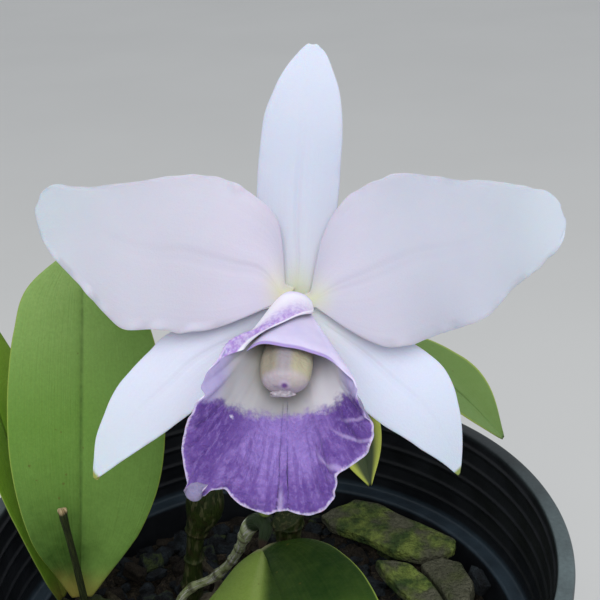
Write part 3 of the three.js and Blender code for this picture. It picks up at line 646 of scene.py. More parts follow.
# Growing medium and slabs
medium = {
    "level": 109.4, "bedding": 4, "clearance": 0.4, "count": 900, "sizes": [3.2, 9.5], "layers": 4.2,
    "swell": 1.2, "swellSize": 22, "sides": 96, "seed": 11,
    "squareness": 0.6, "leastStretch": [0.8, 0.5, 0.3], "mostStretch": [1.25, 0.95, 0.8],
    "knocks": [0.78, 1.18], "turns": [1.6, 0.28, 0.28, 1.6],
    "charcoal": [62.5, 19, 114.6], "charcoalSize": 8.6, "charcoalTint": 0.6,
    "bark": [paint(26, 22, 18), paint(52, 45, 36)], "coal": [paint(16, 18, 21), paint(44, 52, 58)],
    "algae": paint(66, 78, 44), "dry": paint(92, 82, 64),
}


# Chunks of bark: a small body of rings for each, squared off, stretched, knocked about and turned
def chunkShell(centres, sizes, random, rings=4, sides=6):
    count = len(centres)
    turn = np.pi * (np.arange(rings) + 0.5) / rings
    angle = 2 * np.pi * np.arange(sides) / sides
    ball = np.stack([
        np.sin(turn)[:, None] * np.cos(angle), np.sin(turn)[:, None] * np.sin(angle),
        np.repeat(np.cos(turn)[:, None], sides, 1),
    ], -1)
    body = np.concatenate([ball.reshape(-1, 3), [[0, 0, 1], [0, 0, -1]]])
    body = np.sign(body) * np.abs(body) ** medium["squareness"]
    stretch = random.uniform(medium["leastStretch"], medium["mostStretch"], (count, 3))
    knocks = random.uniform(*medium["knocks"], (count, len(body), 3))
    points = body[None] * knocks * stretch[:, None] * sizes[:, None, None] * 0.5
    turns = random.normal(size=(count, 4)) * np.array(medium["turns"])
    w, x, y, z = (unit(turns)[:, k] for k in range(4))
    matrix = np.stack([
        1 - 2 * (y * y + z * z), 2 * (x * y - z * w), 2 * (x * z + y * w),
        2 * (x * y + z * w), 1 - 2 * (x * x + z * z), 2 * (y * z - x * w),
        2 * (x * z - y * w), 2 * (y * z + x * w), 1 - 2 * (x * x + y * y),
    ], -1).reshape(-1, 3, 3)
    points = np.einsum("nij,nkj->nki", matrix, points) + centres[:, None]
    one = ringShell(ball, [[0, 0, 1], [0, 0, -1]], np.linspace(0, 1, rings))
    faces = outwardFaces({"points": body, "faces": one["faces"]})
    faces = (faces[None] + len(body) * np.arange(count)[:, None, None]).reshape(-1, 3)
    tint = np.repeat(random.uniform(0, 1, count), len(body))
    return {
        "points": points.reshape(-1, 3), "faces": faces, "uv": np.tile(one["uv"], (count, 1, 1)),
        "back": np.zeros(len(faces)), "values": {"tint": tint},
    }


# Medium: brown bark or grey charcoal by each chunk's tint, some of it with algae or dry and pale
def barkMaterial():
    material, tree = newMaterial("barkAndCharcoal", {"Roughness": 0.85, "Specular IOR Level": 0.3})
    tint = readValue(tree, "tint")
    broad, fine = cloudy(tree, 260, 1.2), cloudy(tree, 1400, 1.0)
    colour = layered(
        blend(broad, *medium["bark"]),
        (mask(tint, 0.45, 0.5), blend(broad, *medium["coal"])),
        (mask(tint, 0.86, 0.88) * mask(broad, 0.3, 0.9), medium["algae"]),
        (mask(tint, 0.3, 0.22) * mask(fine, 0.4, 0.9) * 0.5, medium["dry"]),
    )
    return finishMaterial(material, colour, fine, 0.0005)


# The medium: a plain fill, chunks strewn evenly over its top in a loose layer, and one lump of
# charcoal
def makeMedium():
    random = np.random.default_rng(medium["seed"])
    level, gap = medium["level"], medium["clearance"]
    bed, bottom = level - medium["bedding"], pot["floor"] + gap
    fill = [[0, bottom], [wallInside(pot["floor"]) - gap, bottom], [wallInside(bed) - gap, bed], [0, bed]]
    base = latheShell(np.array(fill), medium["sides"])
    base["values"] = {"tint": np.zeros(len(base["points"]))}
    count = medium["count"]
    sizes = random.uniform(*medium["sizes"], count)
    reach = wallInside(level) - gap - sizes * 0.62
    distance = reach * np.sqrt(random.uniform(0, 1, count))
    angle = random.uniform(0, 2 * np.pi, count)
    layer = random.uniform(0, 1, count)
    centres = np.stack([distance * np.cos(angle), distance * np.sin(angle), 0 * angle], -1)
    centres[:, 2] = bed + medium["layers"] * layer + medium["swell"] * noise(centres, medium["swellSize"], 3)
    chunks = chunkShell(centres, sizes, random)
    lump = chunkShell(np.array([medium["charcoal"]]), np.array([medium["charcoalSize"]]), random)
    lump["values"]["tint"][:] = medium["charcoalTint"]
    whole = joinShells([base, chunks, lump])
    tints = [shell["values"]["tint"] for shell in (base, chunks, lump)]
    whole["values"] = {"tint": np.concatenate(tints)}
    makePiece("growing_medium", whole, barkMaterial(), flat=True)


makeMedium()
print("growing medium laid")

slabs = {
    "bark_slab_back": {
        "thickness": 4.2, "height": 113.4, "tilt": [0.1, -0.02], "moss": 0.8,
        "outline": [
            [15.8, 51.8], [27.4, 58.7], [35.3, 55.9], [45.1, 47.6], [54, 41], [58.6, 36.6],
            [58.3, 33], [54.5, 30.7], [46.5, 29.7], [38.4, 33], [29.7, 40.2], [18.7, 46.7],
        ],
    },
    "bark_slab_front": {
        "thickness": 3.8, "height": 114.6, "tilt": [0.06, 0.1], "moss": 0.9,
        "outline": [
            [31.1, 24.8], [36.5, 25.2], [41.8, 24.4], [47.4, 17.4], [50.5, 9], [52.6, 1],
            [49, -3.5], [45, 1.5], [40.7, 8.6], [36.6, 14.8], [33, 20.5],
        ],
    },
    "bark_slab_side": {
        "thickness": 5.6, "height": 113.2, "tilt": [-0.08, -0.12], "moss": 0.15,
        "outline": [[45.6, 25.8], [52, 28], [58.4, 24], [60.6, 12.6], [57, 1.4], [53, 2], [50.4, 12.4]],
    },
}
slabShape = {
    "rows": 80, "sides": 190, "corner": 1.2, "relief": 0.45, "reliefSize": 8,
    "furrow": 0.6, "furrowSize": 2.6, "stretch": 5, "knocks": 0.025, "knockSize": 4,
    "bark": [paint(68, 70, 54), paint(106, 106, 88)], "algae": [paint(66, 92, 46), paint(144, 162, 78)],
    "pits": paint(38, 44, 28),
}


# A slab: rings shrink from its outline, whose corners are only slightly rounded, to a pole above
# and one below; its sides are upright and its faces flat, with furrows along the grain
def slabShell(slab, seed):
    corners = np.array(slab["outline"], float)
    middle = corners.mean(0)
    closed = np.concatenate([corners[-1:], corners, corners[:1]])
    rounded = roundedOutline(closed, slabShape["corner"])[1:-1]
    steps = np.linalg.norm(np.diff(rounded, axis=0, append=rounded[:1]), axis=1)
    travelled = np.concatenate([[0], np.cumsum(steps)])
    places = np.linspace(0, travelled[-1], slabShape["sides"], endpoint=False)
    looped = np.concatenate([rounded, rounded[:1]])
    outline = np.stack([np.interp(places, travelled, looped[:, k]) for k in (0, 1)], -1)
    turn = np.linspace(0, np.pi, slabShape["rows"] + 2)[1:-1]
    share = np.sin(turn)[:, None] ** 0.22
    height = np.sign(np.cos(turn)) * np.abs(np.cos(turn)) ** 0.3
    flat = (outline - middle)[None] * share[..., None]
    half = slab["thickness"] / 2
    rings = np.concatenate([flat, np.broadcast_to((half * height)[:, None, None], (*flat.shape[:2], 1))], -1)
    longest = np.argmax(np.linalg.norm(corners - middle, axis=1))
    grain = unit(corners[longest] - middle)
    along = rings[..., 0] * grain[0] + rings[..., 1] * grain[1]
    aside = rings[..., 1] * grain[0] - rings[..., 0] * grain[1]
    stretched = np.stack([along / slabShape["stretch"], aside, rings[..., 2]], -1)
    rise = slabShape["furrow"] * roughness(stretched, slabShape["furrowSize"], seed)
    rise = rise + slabShape["relief"] * noise(rings, slabShape["reliefSize"], seed + 5)
    rings[..., 2] += rise * np.cos(turn)[:, None]
    knocked = slabShape["knocks"] * roughness(rings * [1, 1, 0.4], slabShape["knockSize"], seed + 9)
    rings[..., :2] *= (1 + knocked)[..., None]
    a, b = slab["tilt"]
    y = rings[..., 1] * math.cos(a) - rings[..., 2] * math.sin(a)
    z = rings[..., 1] * math.sin(a) + rings[..., 2] * math.cos(a)
    x = rings[..., 0] * math.cos(b) + z * math.sin(b)
    z = z * math.cos(b) - rings[..., 0] * math.sin(b)
    turned = np.stack([x + middle[0], y + middle[1], z + slab["height"] + half], -1)
    return ringShell(turned, [turned[0].mean(0), turned[-1].mean(0)], np.linspace(0, 1, len(turn)))


# Slab: grey-olive bark under patches of yellow-green algae, with dark pits
def slabMaterial(name, moss):
    material, tree = newMaterial(name, {"Roughness": 0.88, "Specular IOR Level": 0.2})
    broad, patch, fine = cloudy(tree, 90, 1.2), cloudy(tree, 170, 1.5), cloudy(tree, 900, 1.1)
    colour = layered(
        blend(broad, *slabShape["bark"]),
        (mask(broad, 0.85, 0.25) * moss, blend(patch, *slabShape["algae"])),
        (mask(fine, 0.45, 1.0) * 0.4, slabShape["pits"]),
    )
    return finishMaterial(material, colour, fine, 0.0007)


for seed, (node, slab) in enumerate(slabs.items()):
    makePiece(node, slabShell(slab, 20 + seed), slabMaterial(pieceName(node) + "Crust", slab["moss"]))
print("bark slabs laid")

# Leaves
leafForm = {
    "thickness": 1.8, "edgeLoss": 0.45, "tipLoss": 0.35, "flatten": 0.35, "crowding": 1.15,
    "rows": 110, "columns": 56, "groove": 0.45, "grooveWidth": 0.035,
    "undulation": 0.35, "undulationSize": 17, "pitting": 0.06, "pittingSize": 3.5,
    # the crease tone is a painted shadow in the midrib's groove
    "stripe": paint(146, 162, 96), "creaseShade": paint(34, 56, 16), "margin": paint(144, 166, 70),
    "specks": paint(92, 84, 36), "under": [paint(88, 114, 58), paint(112, 138, 78)],
    "underVeins": paint(80, 104, 52),
}
# tones: a deep green that stands as painted shade, a painted lit green, and painted shade towards the base;
# light: where across the blade the painted lit side comes in; lean: how much that slants along the blade;
# outer: where the painted light dims towards the outer margin
leaves = {
    "leaf_front": {
        "midrib": [
            [0.2, -29.6, 168], [2.6, -40, 170.6], [6, -54, 172.6],
            [9.5, -78, 173], [12.5, -98, 169], [14.5, -113, 162],
        ],
        "face": [-0.2, 0.1, 1],
        "left": [2.4, 10.2, 14.4, 16.7, 18.4, 19.5, 19.5, 18.5, 16, 11.5, 0.6],
        "right": [1, 7.1, 11.6, 16.9, 18.5, 19, 18.8, 17.8, 15.5, 11.5, 0.6],
        "fold": [26, 16, 9, 6, 5, 5, 6, 7, 8, 10, 12],
        "tones": [paint(2, 44, 2), paint(150, 176, 80), paint(0, 34, 0)], "far": paint(78, 110, 40),
        "light": [0.42, 0.53], "lean": 0.4, "outer": [0.66, 0.98], "clouding": 0.2, "veins": 0.02,
        "gloss": 0.08, "stripe": 0.55, "base": paint(150, 150, 112), "baseEnd": 0.04,
    },
    "leaf_left": {
        "midrib": [
            [-49.2, -14.2, 143.6], [-47.9, -11.4, 160], [-45.9, -6, 183],
            [-43.8, 1.5, 208], [-41.6, 10, 234.6],
        ],
        "face": [0.2, -1, 0.24],
        "left": [2.6, 6.4, 10.6, 13.8, 16.2, 17.7, 18.2, 17.9, 16.6, 13.2, 0.8],
        "right": [2.8, 7.4, 12.2, 16.6, 19.8, 21.2, 21.2, 20, 17.4, 12.4, 0.8],
        "fold": [26, 12, 8, 7, 6, 6, 6, 6, 6, 6, 6],
        "tones": [paint(100, 140, 54), paint(116, 154, 72), paint(4, 36, 0)], "light": [0.3, 0.9],
        "tip": paint(148, 180, 104), "base": paint(150, 136, 66), "baseEnd": 0.16,
    },
    "leaf_rear_left": {
        "midrib": [[-57.8, -4.4, 134.6], [-60.5, -2, 150], [-66, 2.5, 175], [-72, 9, 199], [-77.5, 15, 220]],
        "face": [0.9, -0.45, 0.25],
        "left": [1.4, 3.5, 5, 6.6, 8, 9, 9.5, 9, 8, 6, 0.6],
        "right": [1.4, 6, 9.6, 11.8, 13, 13.5, 13.2, 12.2, 10.2, 7, 0.6],
        "fold": [30, 16, 12, 10, 10, 10, 10, 10, 10, 10, 10],
        "tones": [paint(88, 128, 30), paint(112, 146, 44), paint(62, 92, 20)], "light": [0.5, 0.7],
        "base": paint(96, 88, 38), "baseEnd": 0.2,
    },
    "leaf_right": {
        "midrib": [
            [7.8, 18.2, 154.6], [10.6, 20, 171], [20, 23, 184.5],
            [36, 25.8, 187.6], [52, 25.6, 181], [68.3, 20, 165.2],
        ],
        "face": [-0.4, -0.15, 1],
        "left": [1.4, 6, 10, 13.4, 15.6, 16, 15.4, 13.8, 11.4, 7.6, 0.6],
        "right": [1.4, 6, 10, 13.6, 16, 16, 14, 11.2, 8, 4.6, 0.6],
        "fold": [34, 26, 20, 16, 12, 10, 10, 12, 14, 18, 22],
        "tones": [paint(112, 142, 74), paint(124, 154, 92), paint(98, 128, 60)], "light": [0.3, 0.6],
        "base": paint(110, 112, 60), "baseEnd": 0.1, "margin": paint(176, 194, 92), "marginWidth": 0.05,
    },
    "leaf_middle": {
        "midrib": [
            [-14.8, 14.2, 161.8], [-7, 10.5, 177], [6, 4, 191],
            [18, -5.5, 197], [24.6, -15, 192.5], [27, -22.6, 180.8],
        ],
        "face": [0.1, -0.3, 1],
        "left": [1.2, 4, 6.8, 8.6, 9.4, 9.4, 8.8, 7.8, 6, 3.8, 0.5],
        "right": [1.2, 4, 6.8, 8.6, 9.8, 10.6, 11, 10.8, 9.6, 6.8, 0.5],
        "fold": [34, 28, 24, 22, 22, 24, 27, 30, 33, 36, 40],
        "tones": [paint(66, 78, 54), paint(80, 92, 62), paint(58, 70, 48)], "light": [0.4, 0.6],
        "base": paint(110, 112, 60), "baseEnd": 0.1, "margin": paint(226, 236, 108), "marginWidth": 0.26,
    },
}


# Sample places across a blade, closer towards both margins
def acrossBlade(columns):
    s = np.linspace(-1, 1, columns + 1)
    return 1.5 * s - 0.5 * s**3


# A leaf: the midrib's curve, half widths to both sides, each side folded up by an angle that eases
# off towards the margin, a groove along the midrib, a faint undulation and a fainter pitting
def leafShell(leaf, seed):
    u = np.linspace(0, 1, leafForm["rows"] + 1) ** leafForm["crowding"]
    v = acrossBlade(leafForm["columns"])
    midrib = smoothPath(leaf["midrib"])
    centre = midrib(u)
    tangent = unit(midrib(u + 1e-4) - midrib(u - 1e-4))
    side = unit(np.cross(tangent, np.array(leaf["face"], float)))
    up = np.cross(side, tangent)
    left, right, fold = (through(leaf[key])(u)[:, None] for key in ("left", "right", "fold"))
    reach = np.where(v < 0, v * left, v * right)
    angle = np.radians(fold) * (1 - leafForm["flatten"] * np.abs(v))
    middle = centre[:, None] + side[:, None] * (reach * np.cos(angle))[..., None]
    middle = middle + up[:, None] * (np.abs(reach) * np.sin(angle))[..., None]
    ends = (ease(0, 0.12, u) * ease(1, 0.93, u))[:, None]
    groove = leafForm["groove"] * bell(v, 0, leafForm["grooveWidth"])[None] * ends
    wave = leafForm["undulation"] * noise(middle, leafForm["undulationSize"], seed)
    wave = wave + leafForm["pitting"] * noise(middle, leafForm["pittingSize"], seed + 1)
    middle = middle + up[:, None] * (wave * ends - groove)[..., None]
    half = 0.5 * leafForm["thickness"] * (1 - leafForm["edgeLoss"] * v**2)
    half = half * (1 - leafForm["tipLoss"] * u[:, None])
    half = half * rounding(v, 14) * rounding(2 * u - 1, 120)[:, None]
    shell = bladeShell(middle, half, u, (v + 1) / 2)
    shell["back"] = 1 - shell["back"]
    return shell


# Leaf: a deep green as painted shade, darkening to its base as painted shade deep in the plant, under
# a painted lit green on the side the light falls on, clouded and mottled, then faint veins and grain, an
# even far part where the painted light fades out, a pale stripe beside the midrib, a painted shadow line
# in its groove, a pale margin, a stained base and a few brown specks; the underside is duller
def leafMaterial(name, leaf):
    finish = {
        "Specular IOR Level": leaf.get("gloss", 0.18), "Coat Weight": 0.02, "Coat Roughness": 0.35,
        "Subsurface Weight": 0.06, "Subsurface Scale": 0.001,
    }
    material, tree = newMaterial(name, finish)
    along, across = shapePlace(tree)
    deep, litGreen, low = leaf["tones"]
    broad, mottle, grain = cloudy(tree, 60, 0.8), cloudy(tree, 420, 0.9), cloudy(tree, 1500, 0.8)
    veins = streaky(tree, 3, 70, 1)
    clouding = leaf.get("clouding", 1.0)
    # the painted lit side: it comes in across the blade, slanted along it, dims towards the outer margin
    # where that is given, and has clouds and mottle mixed in
    leaned = across - along * leaf.get("lean", 0.0)
    litSideAndMottle = mask(leaned, *leaf["light"])
    if "outer" in leaf:
        litSideAndMottle = litSideAndMottle * ramp(across, *leaf["outer"], 1.0, 0.55)
    litSideAndMottle = (litSideAndMottle + broad * (0.55 * clouding)) * 0.62 + mottle * (0.2 * clouding)
    # painted shade towards the base, deep in the plant
    colour = blend(mask(along, 0.05, 0.6), low, deep)
    if "tip" in leaf:
        colour = blend(mask(along, 0.55, 0.95), colour, leaf["tip"])
    colour = layered(
        colour,
        (litSideAndMottle, litGreen),
        (veins * leaf.get("veins", 0.08), litGreen),
        (grain * 0.14, low),
    )
    if "far" in leaf:
        even = blend(0.25, leaf["far"], blend(broad, leaf["far"], litGreen))
        colour = blend(mask(along, 0.4, 0.7), colour, even)
    offMidrib = abs(across - 0.5)
    stripe = near(leaned, 0.53, 0.06, 0.01) * mask(along, 0.6, 0.05) * leaf.get("stripe", 0.0)
    # painted shadow line in the midrib's groove
    creaseShade = mask(offMidrib, 0.028, 0.0) * mask(along, 1.0, 0.8) * (0.15 + 0.35 * mottle)
    width = leaf.get("marginWidth", 0.012)
    margin = mask(offMidrib, 0.5 - width, 0.5 - 0.15 * width)
    stain = mask(along + broad * 0.06, leaf["baseEnd"] + 0.03, 0.02)
    specks = mask(scattered(tree, 260.0), 0.12, 0.06) * mask(cloudy(tree, 130, 2.5), 0.72, 0.95)
    colour = layered(
        colour,
        (stripe, leafForm["stripe"]),
        (creaseShade, leafForm["creaseShade"]),
        (margin * 0.8, leaf.get("margin", leafForm["margin"])),
        (stain * 0.8, leaf["base"]),
        (specks * 0.55, leafForm["specks"]),
    )
    under = blend(veins * 0.3, blend(broad, *leafForm["under"]), leafForm["underVeins"])
    colour = blend(readValue(tree, "back"), colour, under)
    height, rough = veins * 0.5 + grain * 0.4, ramp(grain, 0.0, 1.0, 0.42, 0.56)
    return finishMaterial(material, colour, height, 0.00008, rough)


for seed, (node, leaf) in enumerate(leaves.items()):
    makePiece(node, leafShell(leaf, 40 + 3 * seed), leafMaterial(pieceName(node) + "Green", leaf))
print("leaves grown")

# Rhizome, roots, pseudobulbs and stems
seat = 0.6  # what a cane's top keeps off its leaf, and the column off its cap
stemForm = {"grid": [160, 48], "nodeWidth": 0.012, "belowNode": 0.05}  # steps along a cane and sides round it


# The point just short of a leaf's base, where its pseudobulb ends
def underLeaf(node):
    base, after = (np.array(point, float) for point in leaves[node]["midrib"][:2])
    return (base - seat * unit(after - base)).tolist()


canes = {
    "pseudobulb_flowering": {
        "path": [
            [-28, 10.4, 116.4], [-26.4, 9.2, 121.5], [-22.7, 8.2, 126.2], [-16.9, 6.5, 130.3],
            [-11.7, 2, 138.3], [-7.9, -4, 147.8], [-6, -11, 156.2], [-2.5, -19.6, 168.6],
            [0.2, -22.6, 171.8], [1.2, -24.8, 171.2], [0.3, -27.1, 168.6], underLeaf("leaf_front"),
        ],
        "radius": [1.5, 1.3, 1.2, 1.4, 1.2, 1.4, 1.2, 1.5, 2, 2, 0.8],
        "nodes": [0.143, 0.286, 0.429, 0.571, 0.714], "swell": 0.25, "flakes": 0.08,
        "look": "sheath", "petiole": 0.83,
    },
    "pseudobulb_middle": {
        "path": [
            [-24, 13.6, 117.4], [-22.8, 14.2, 129], [-21, 14.4, 141], [-18.2, 14.4, 148.7],
            [-17.2, 14.4, 155.6], underLeaf("leaf_middle"),
        ],
        "radius": [2.9, 3.1, 2.8, 2.5, 2.4, 2.6, 3.8, 5.2, 5.4, 4.3, 1.2],
        "nodes": [0.12, 0.32, 0.54], "swell": 0.35, "flakes": 0.2, "look": "cane",
    },
    "pseudobulb_right": {
        "path": [[6, 19.4, 117.2], [5.4, 19.2, 130], [6, 18.4, 142], underLeaf("leaf_right")],
        "radius": [2.4, 2.8, 3.2, 3.8, 4.2, 3.6, 1],
        "nodes": [0.15, 0.4, 0.62], "swell": 0.35, "flakes": 0.25, "look": "cane",
    },
    "pseudobulb_left": {
        "path": [[-43, 0.4, 117.4], [-44.6, -4, 126], [-47.4, -9.8, 135], underLeaf("leaf_left")],
        "radius": [2.6, 3.2, 3.9, 3.8, 2.9, 1],
        "nodes": [0.2, 0.5, 0.75], "swell": 0.3, "flakes": 0.25, "look": "cane",
    },
    "pseudobulb_rear_left": {
        "path": [[-49, 2, 114.5], [-53, 1, 120], [-56.4, -2.6, 127.6], underLeaf("leaf_rear_left")],
        "radius": [2.2, 2.8, 3.2, 2.8, 1.2],
        "nodes": [0.3, 0.7], "swell": 0.3, "flakes": 0.2, "look": "cane",
    },
}
rhizome = {
    "path": [
        [-46, -2, 114], [-38, 4, 113.5], [-24, 13.5, 113.5], [-8, 18, 113.5], [8, 19.5, 113.5], [20, 17, 113],
    ],
    "radius": [2.6, 3.4, 3.1, 3.5, 3, 3.4, 2.4, 1.6],
    "roots": [
        [[-40, 3, 113], [-42, 12, 112.4], [-50, 22, 111.6], [-54, 31, 106]],
        [[-20, 14, 113], [-17, 25, 112.6], [-23, 37, 111.8], [-20, 46, 105]],
        [[0, 18.5, 113], [4, 30, 112.2], [13, 36, 111.4], [15, 45, 105]],
        [[12, 19, 113], [22, 12, 112.4], [28, 2, 111.2], [38, -4, 105]],
        [[-30, 10, 113], [-26, 0, 112.2], [-30, -12, 111.2], [-27, -22, 105]],
    ],
    "rootRadius": [1.5, 1.3, 1.2, 0.9],
    "knobs": 0.3, "knobSize": 3, "rootBumps": 0.12, "rootBumpSize": 1.2,
    "grid": [120, 40], "rootGrid": [60, 20],
}


# A cane's radius: its own table, a raised ring at each node, and old sheaths that flake off in
# long narrow strips round it
def caneRadius(cane):
    table = through(cane["radius"])

    def radius(u, angle):
        grown = table(u) + 0 * angle
        for ring in cane["nodes"]:
            below = 0.5 * ease(ring - stemForm["belowNode"], ring, u) * (u < ring)
            grown = grown + cane["swell"] * (bell(u, ring, stemForm["nodeWidth"]) + below)
        strips = np.stack([u * 9 + 0 * angle, 2 * np.cos(angle) + 0 * u, 2 * np.sin(angle) + 0 * u], -1)
        return grown + cane["flakes"] * np.maximum(0, noise(strips, 1.0, 5)) * ease(1, 0.85, u)

    return radius


# Each look's dark, fair and papery tones, with the share of the papery one
caneTones = {
    "cane": [paint(28, 40, 12), paint(58, 72, 28), paint(122, 120, 82), 0.4],
    "sheath": [paint(150, 168, 92), paint(232, 240, 192), paint(252, 252, 244), 1.0],
    "stalk": [paint(120, 144, 62), paint(164, 182, 100), paint(190, 200, 138), 0.15],
    "root": [paint(58, 52, 40), paint(98, 92, 72), paint(140, 134, 112), 0.4],
    "scars": paint(58, 42, 26), "rings": paint(58, 50, 32), "ringSteps": 7,
    "neck": paint(36, 54, 24), "lastRing": paint(52, 36, 22),
}


# Cane: a clouded green, pale papery remains in strips, fine fibres and brown scars; where a petiole
# is given, as the share at which it starts, worn rings at even steps below it, then a dark green
# neck that ends in a brown ring
def caneMaterial(name, look, petiole=None):
    dark, fair, papery, paperShare = caneTones[look]
    material, tree = newMaterial(name, {"Specular IOR Level": 0.35})
    along = shapePlace(tree)[0]
    paper = mask(streaky(tree, 10, 14, 2), 0.62, 0.85) * paperShare
    fibres = streaky(tree, 6, 70, 6)
    colour = layered(
        blend(cloudy(tree, 260, 1.0), dark, fair),
        (paper, papery),
        (fibres * 0.18, dark),
        (mask(cloudy(tree, 420, 1.6), 0.8, 0.98) * 0.45, caneTones["scars"]),
    )
    if petiole is not None:
        offRing = abs(calculate("FRACT", along * caneTones["ringSteps"]) - 0.5)
        colour = layered(
            colour,
            (mask(offRing, 0.4, 0.48) * 0.65, caneTones["rings"]),
            (mask(along, petiole, petiole + 0.03), caneTones["neck"]),
            (mask(along, 0.96, 0.975), caneTones["lastRing"]),
        )
    return finishMaterial(material, colour, fibres, 0.00025, ramp(paper, 0.0, 1.0, 0.45, 0.85))


sideways, inward, upward = [1, 0, 0], [0, 1, 0], [0, 0, 1]
for node, cane in canes.items():
    shell = stemShell(cane["path"], caneRadius(cane), *stemForm["grid"], sideways)
    makePiece(node, shell, caneMaterial(pieceName(node) + "Skin", cane["look"], cane.get("petiole")))


# A radius from a table along the stem, the same all round
def plainRadius(values):
    table = through(values)
    return lambda u, angle: table(u) + 0 * angle


# How far the rhizome's skin stands out: coarse knobs with finer ones on them
def knobbly(rings):
    return rhizome["knobs"] * roughness(rings, rhizome["knobSize"])


# How far a root's skin stands out: small bumps of one size
def uneven(rings):
    return rhizome["rootBumps"] * noise(rings, rhizome["rootBumpSize"])


creeping = [
    stemShell(rhizome["path"], plainRadius(rhizome["radius"]), *rhizome["grid"], upward, shift=knobbly),
]
for path in rhizome["roots"]:
    root = stemShell(path, plainRadius(rhizome["rootRadius"]), *rhizome["rootGrid"], upward, shift=uneven)
    creeping.append(root)
makePiece("rhizome", joinShells(creeping), caneMaterial("rootSkin", "root"))
print("canes and roots grown")

# The flower's own frame: x right, y up, z out of its face
flower = {"centre": [11.05, -35.12, 236.99], "tiltUp": 25.02, "roll": -2.37, "thickness": 0.9}
flowerTurn = tiltAndRoll(90 - flower["tiltUp"], flower["roll"])


# From the flower's frame to the pot's, in millimetres
def toPot(points):
    return np.asarray(points, float) @ flowerTurn.T + np.array(flower["centre"])


lipAxis = {"from": [-0.8, -0.5, 3], "direction": [-0.05, -0.63, 0.775]}
axisOut = unit(np.array(lipAxis["direction"]))
axisUp = unit(np.array([0, 1, 0]) - axisOut * axisOut[1])
axisRight = np.cross(axisUp, axisOut)


# Points given right of, above and along the lip's axis, in the flower's frame
def fromLipAxis(right, above, out):
    right, above, out = (np.asarray(part, float)[..., None] for part in (right, above, out))
    return np.array(lipAxis["from"]) + (right * axisRight + above * axisUp + out * axisOut)


stalk = {
    "path": [
        [0.9, -23.8, 173.9], [4.4, -21.2, 190], [7.6, -19.6, 208], [10.2, -21.5, 224], [11, -27, 233.8],
        [11.02, -31.5, 235.7], toPot([0, 0.1, -1.2]).tolist(), toPot([-0.1, 0.2, 0.8]).tolist(),
        toPot(fromLipAxis(0, 0, -0.4)).tolist(), toPot(fromLipAxis(0, 0, 2)).tolist(),
    ],
    "radius": [2, 1.7, 1.6, 1.6, 1.6, 1.7, 2, 2.3, 2.5, 2.5, 2.2, 1.6, 1.3],
    "ribs": 6, "ribDepth": 0.12, "grid": [220, 48],
}
sheath = {
    "path": [[2.9, -25, 171.3], [6.8, -23.7, 173.3], [10.2, -22.8, 176]], "radius": [1.2, 2.3, 2.4, 1.2],
    "flatness": 0.6, "oval": 0.08, "ribs": 14, "ribDepth": 0.06, "grid": [60, 56],
}
oldStem = {
    "path": [
        [-46.9, -14.9, 134.2], [-46.4, -18.2, 138.5], [-46.8, -20.6, 147],
        [-48, -19.6, 160], [-49.8, -17.8, 174.6],
    ],
    "radius": [1.1, 1, 0.9, 0.85, 0.8, 0.8, 1.15], "fray": 0.5, "prongs": 3,
    "grid": [140, 40],
    "skin": [paint(20, 26, 10), paint(50, 60, 22)], "straw": [paint(150, 124, 84), paint(206, 190, 150)],
}


# The stalk's own radius, with shallow ribs on all but its foot
def stalkRadius(u, angle):
    ribs = stalk["ribDepth"] * np.cos(stalk["ribs"] * angle)
    return through(stalk["radius"])(u) + ribs * ease(0.2, 0.6, u) + 0 * angle


# The sheath's own radius, slightly oval, with fine ribs
def sheathRadius(u, angle):
    ribs = sheath["ribDepth"] * np.cos(sheath["ribs"] * angle)
    return through(sheath["radius"])(u) * (1 + sheath["oval"] * np.cos(2 * angle)) + ribs


# Its end splits into prongs, and its skin is wrinkled lengthways
def oldStemRadius(u, angle):
    wrinkles = 0.07 * np.cos(9 * angle + 4 * u) + 0.05 * np.cos(17 * angle)
    fray = oldStem["fray"] * ease(0.93, 1, u) * np.cos(oldStem["prongs"] * angle)
    return through(oldStem["radius"])(u) + wrinkles + fray


# Withered stem: dark fibres, and straw where its end is torn
def dryStemMaterial():
    material, tree = newMaterial("witheredStem", {"Roughness": 0.8, "Specular IOR Level": 0.25})
    fibres = streaky(tree, 12, 26, 4)
    torn = mask(shapePlace(tree)[0], 0.955, 0.985)
    colour = blend(torn, blend(fibres, *oldStem["skin"]), blend(fibres, *oldStem["straw"]))
    return finishMaterial(material, colour, fibres, 0.0002)


stalkShell = stemShell(stalk["path"], stalkRadius, *stalk["grid"], sideways)
sheathShell = stemShell(sheath["path"], sheathRadius, *sheath["grid"], inward, sheath["flatness"])
oldStemShell = stemShell(oldStem["path"], oldStemRadius, *oldStem["grid"], sideways)
makePiece("flower_stalk", stalkShell, caneMaterial("stalkSkin", "stalk"))
makePiece("flower_sheath", sheathShell, caneMaterial("sheathSkin", "cane"))
makePiece("old_flower_stem", oldStemShell, dryStemMaterial())
print("stalks grown")

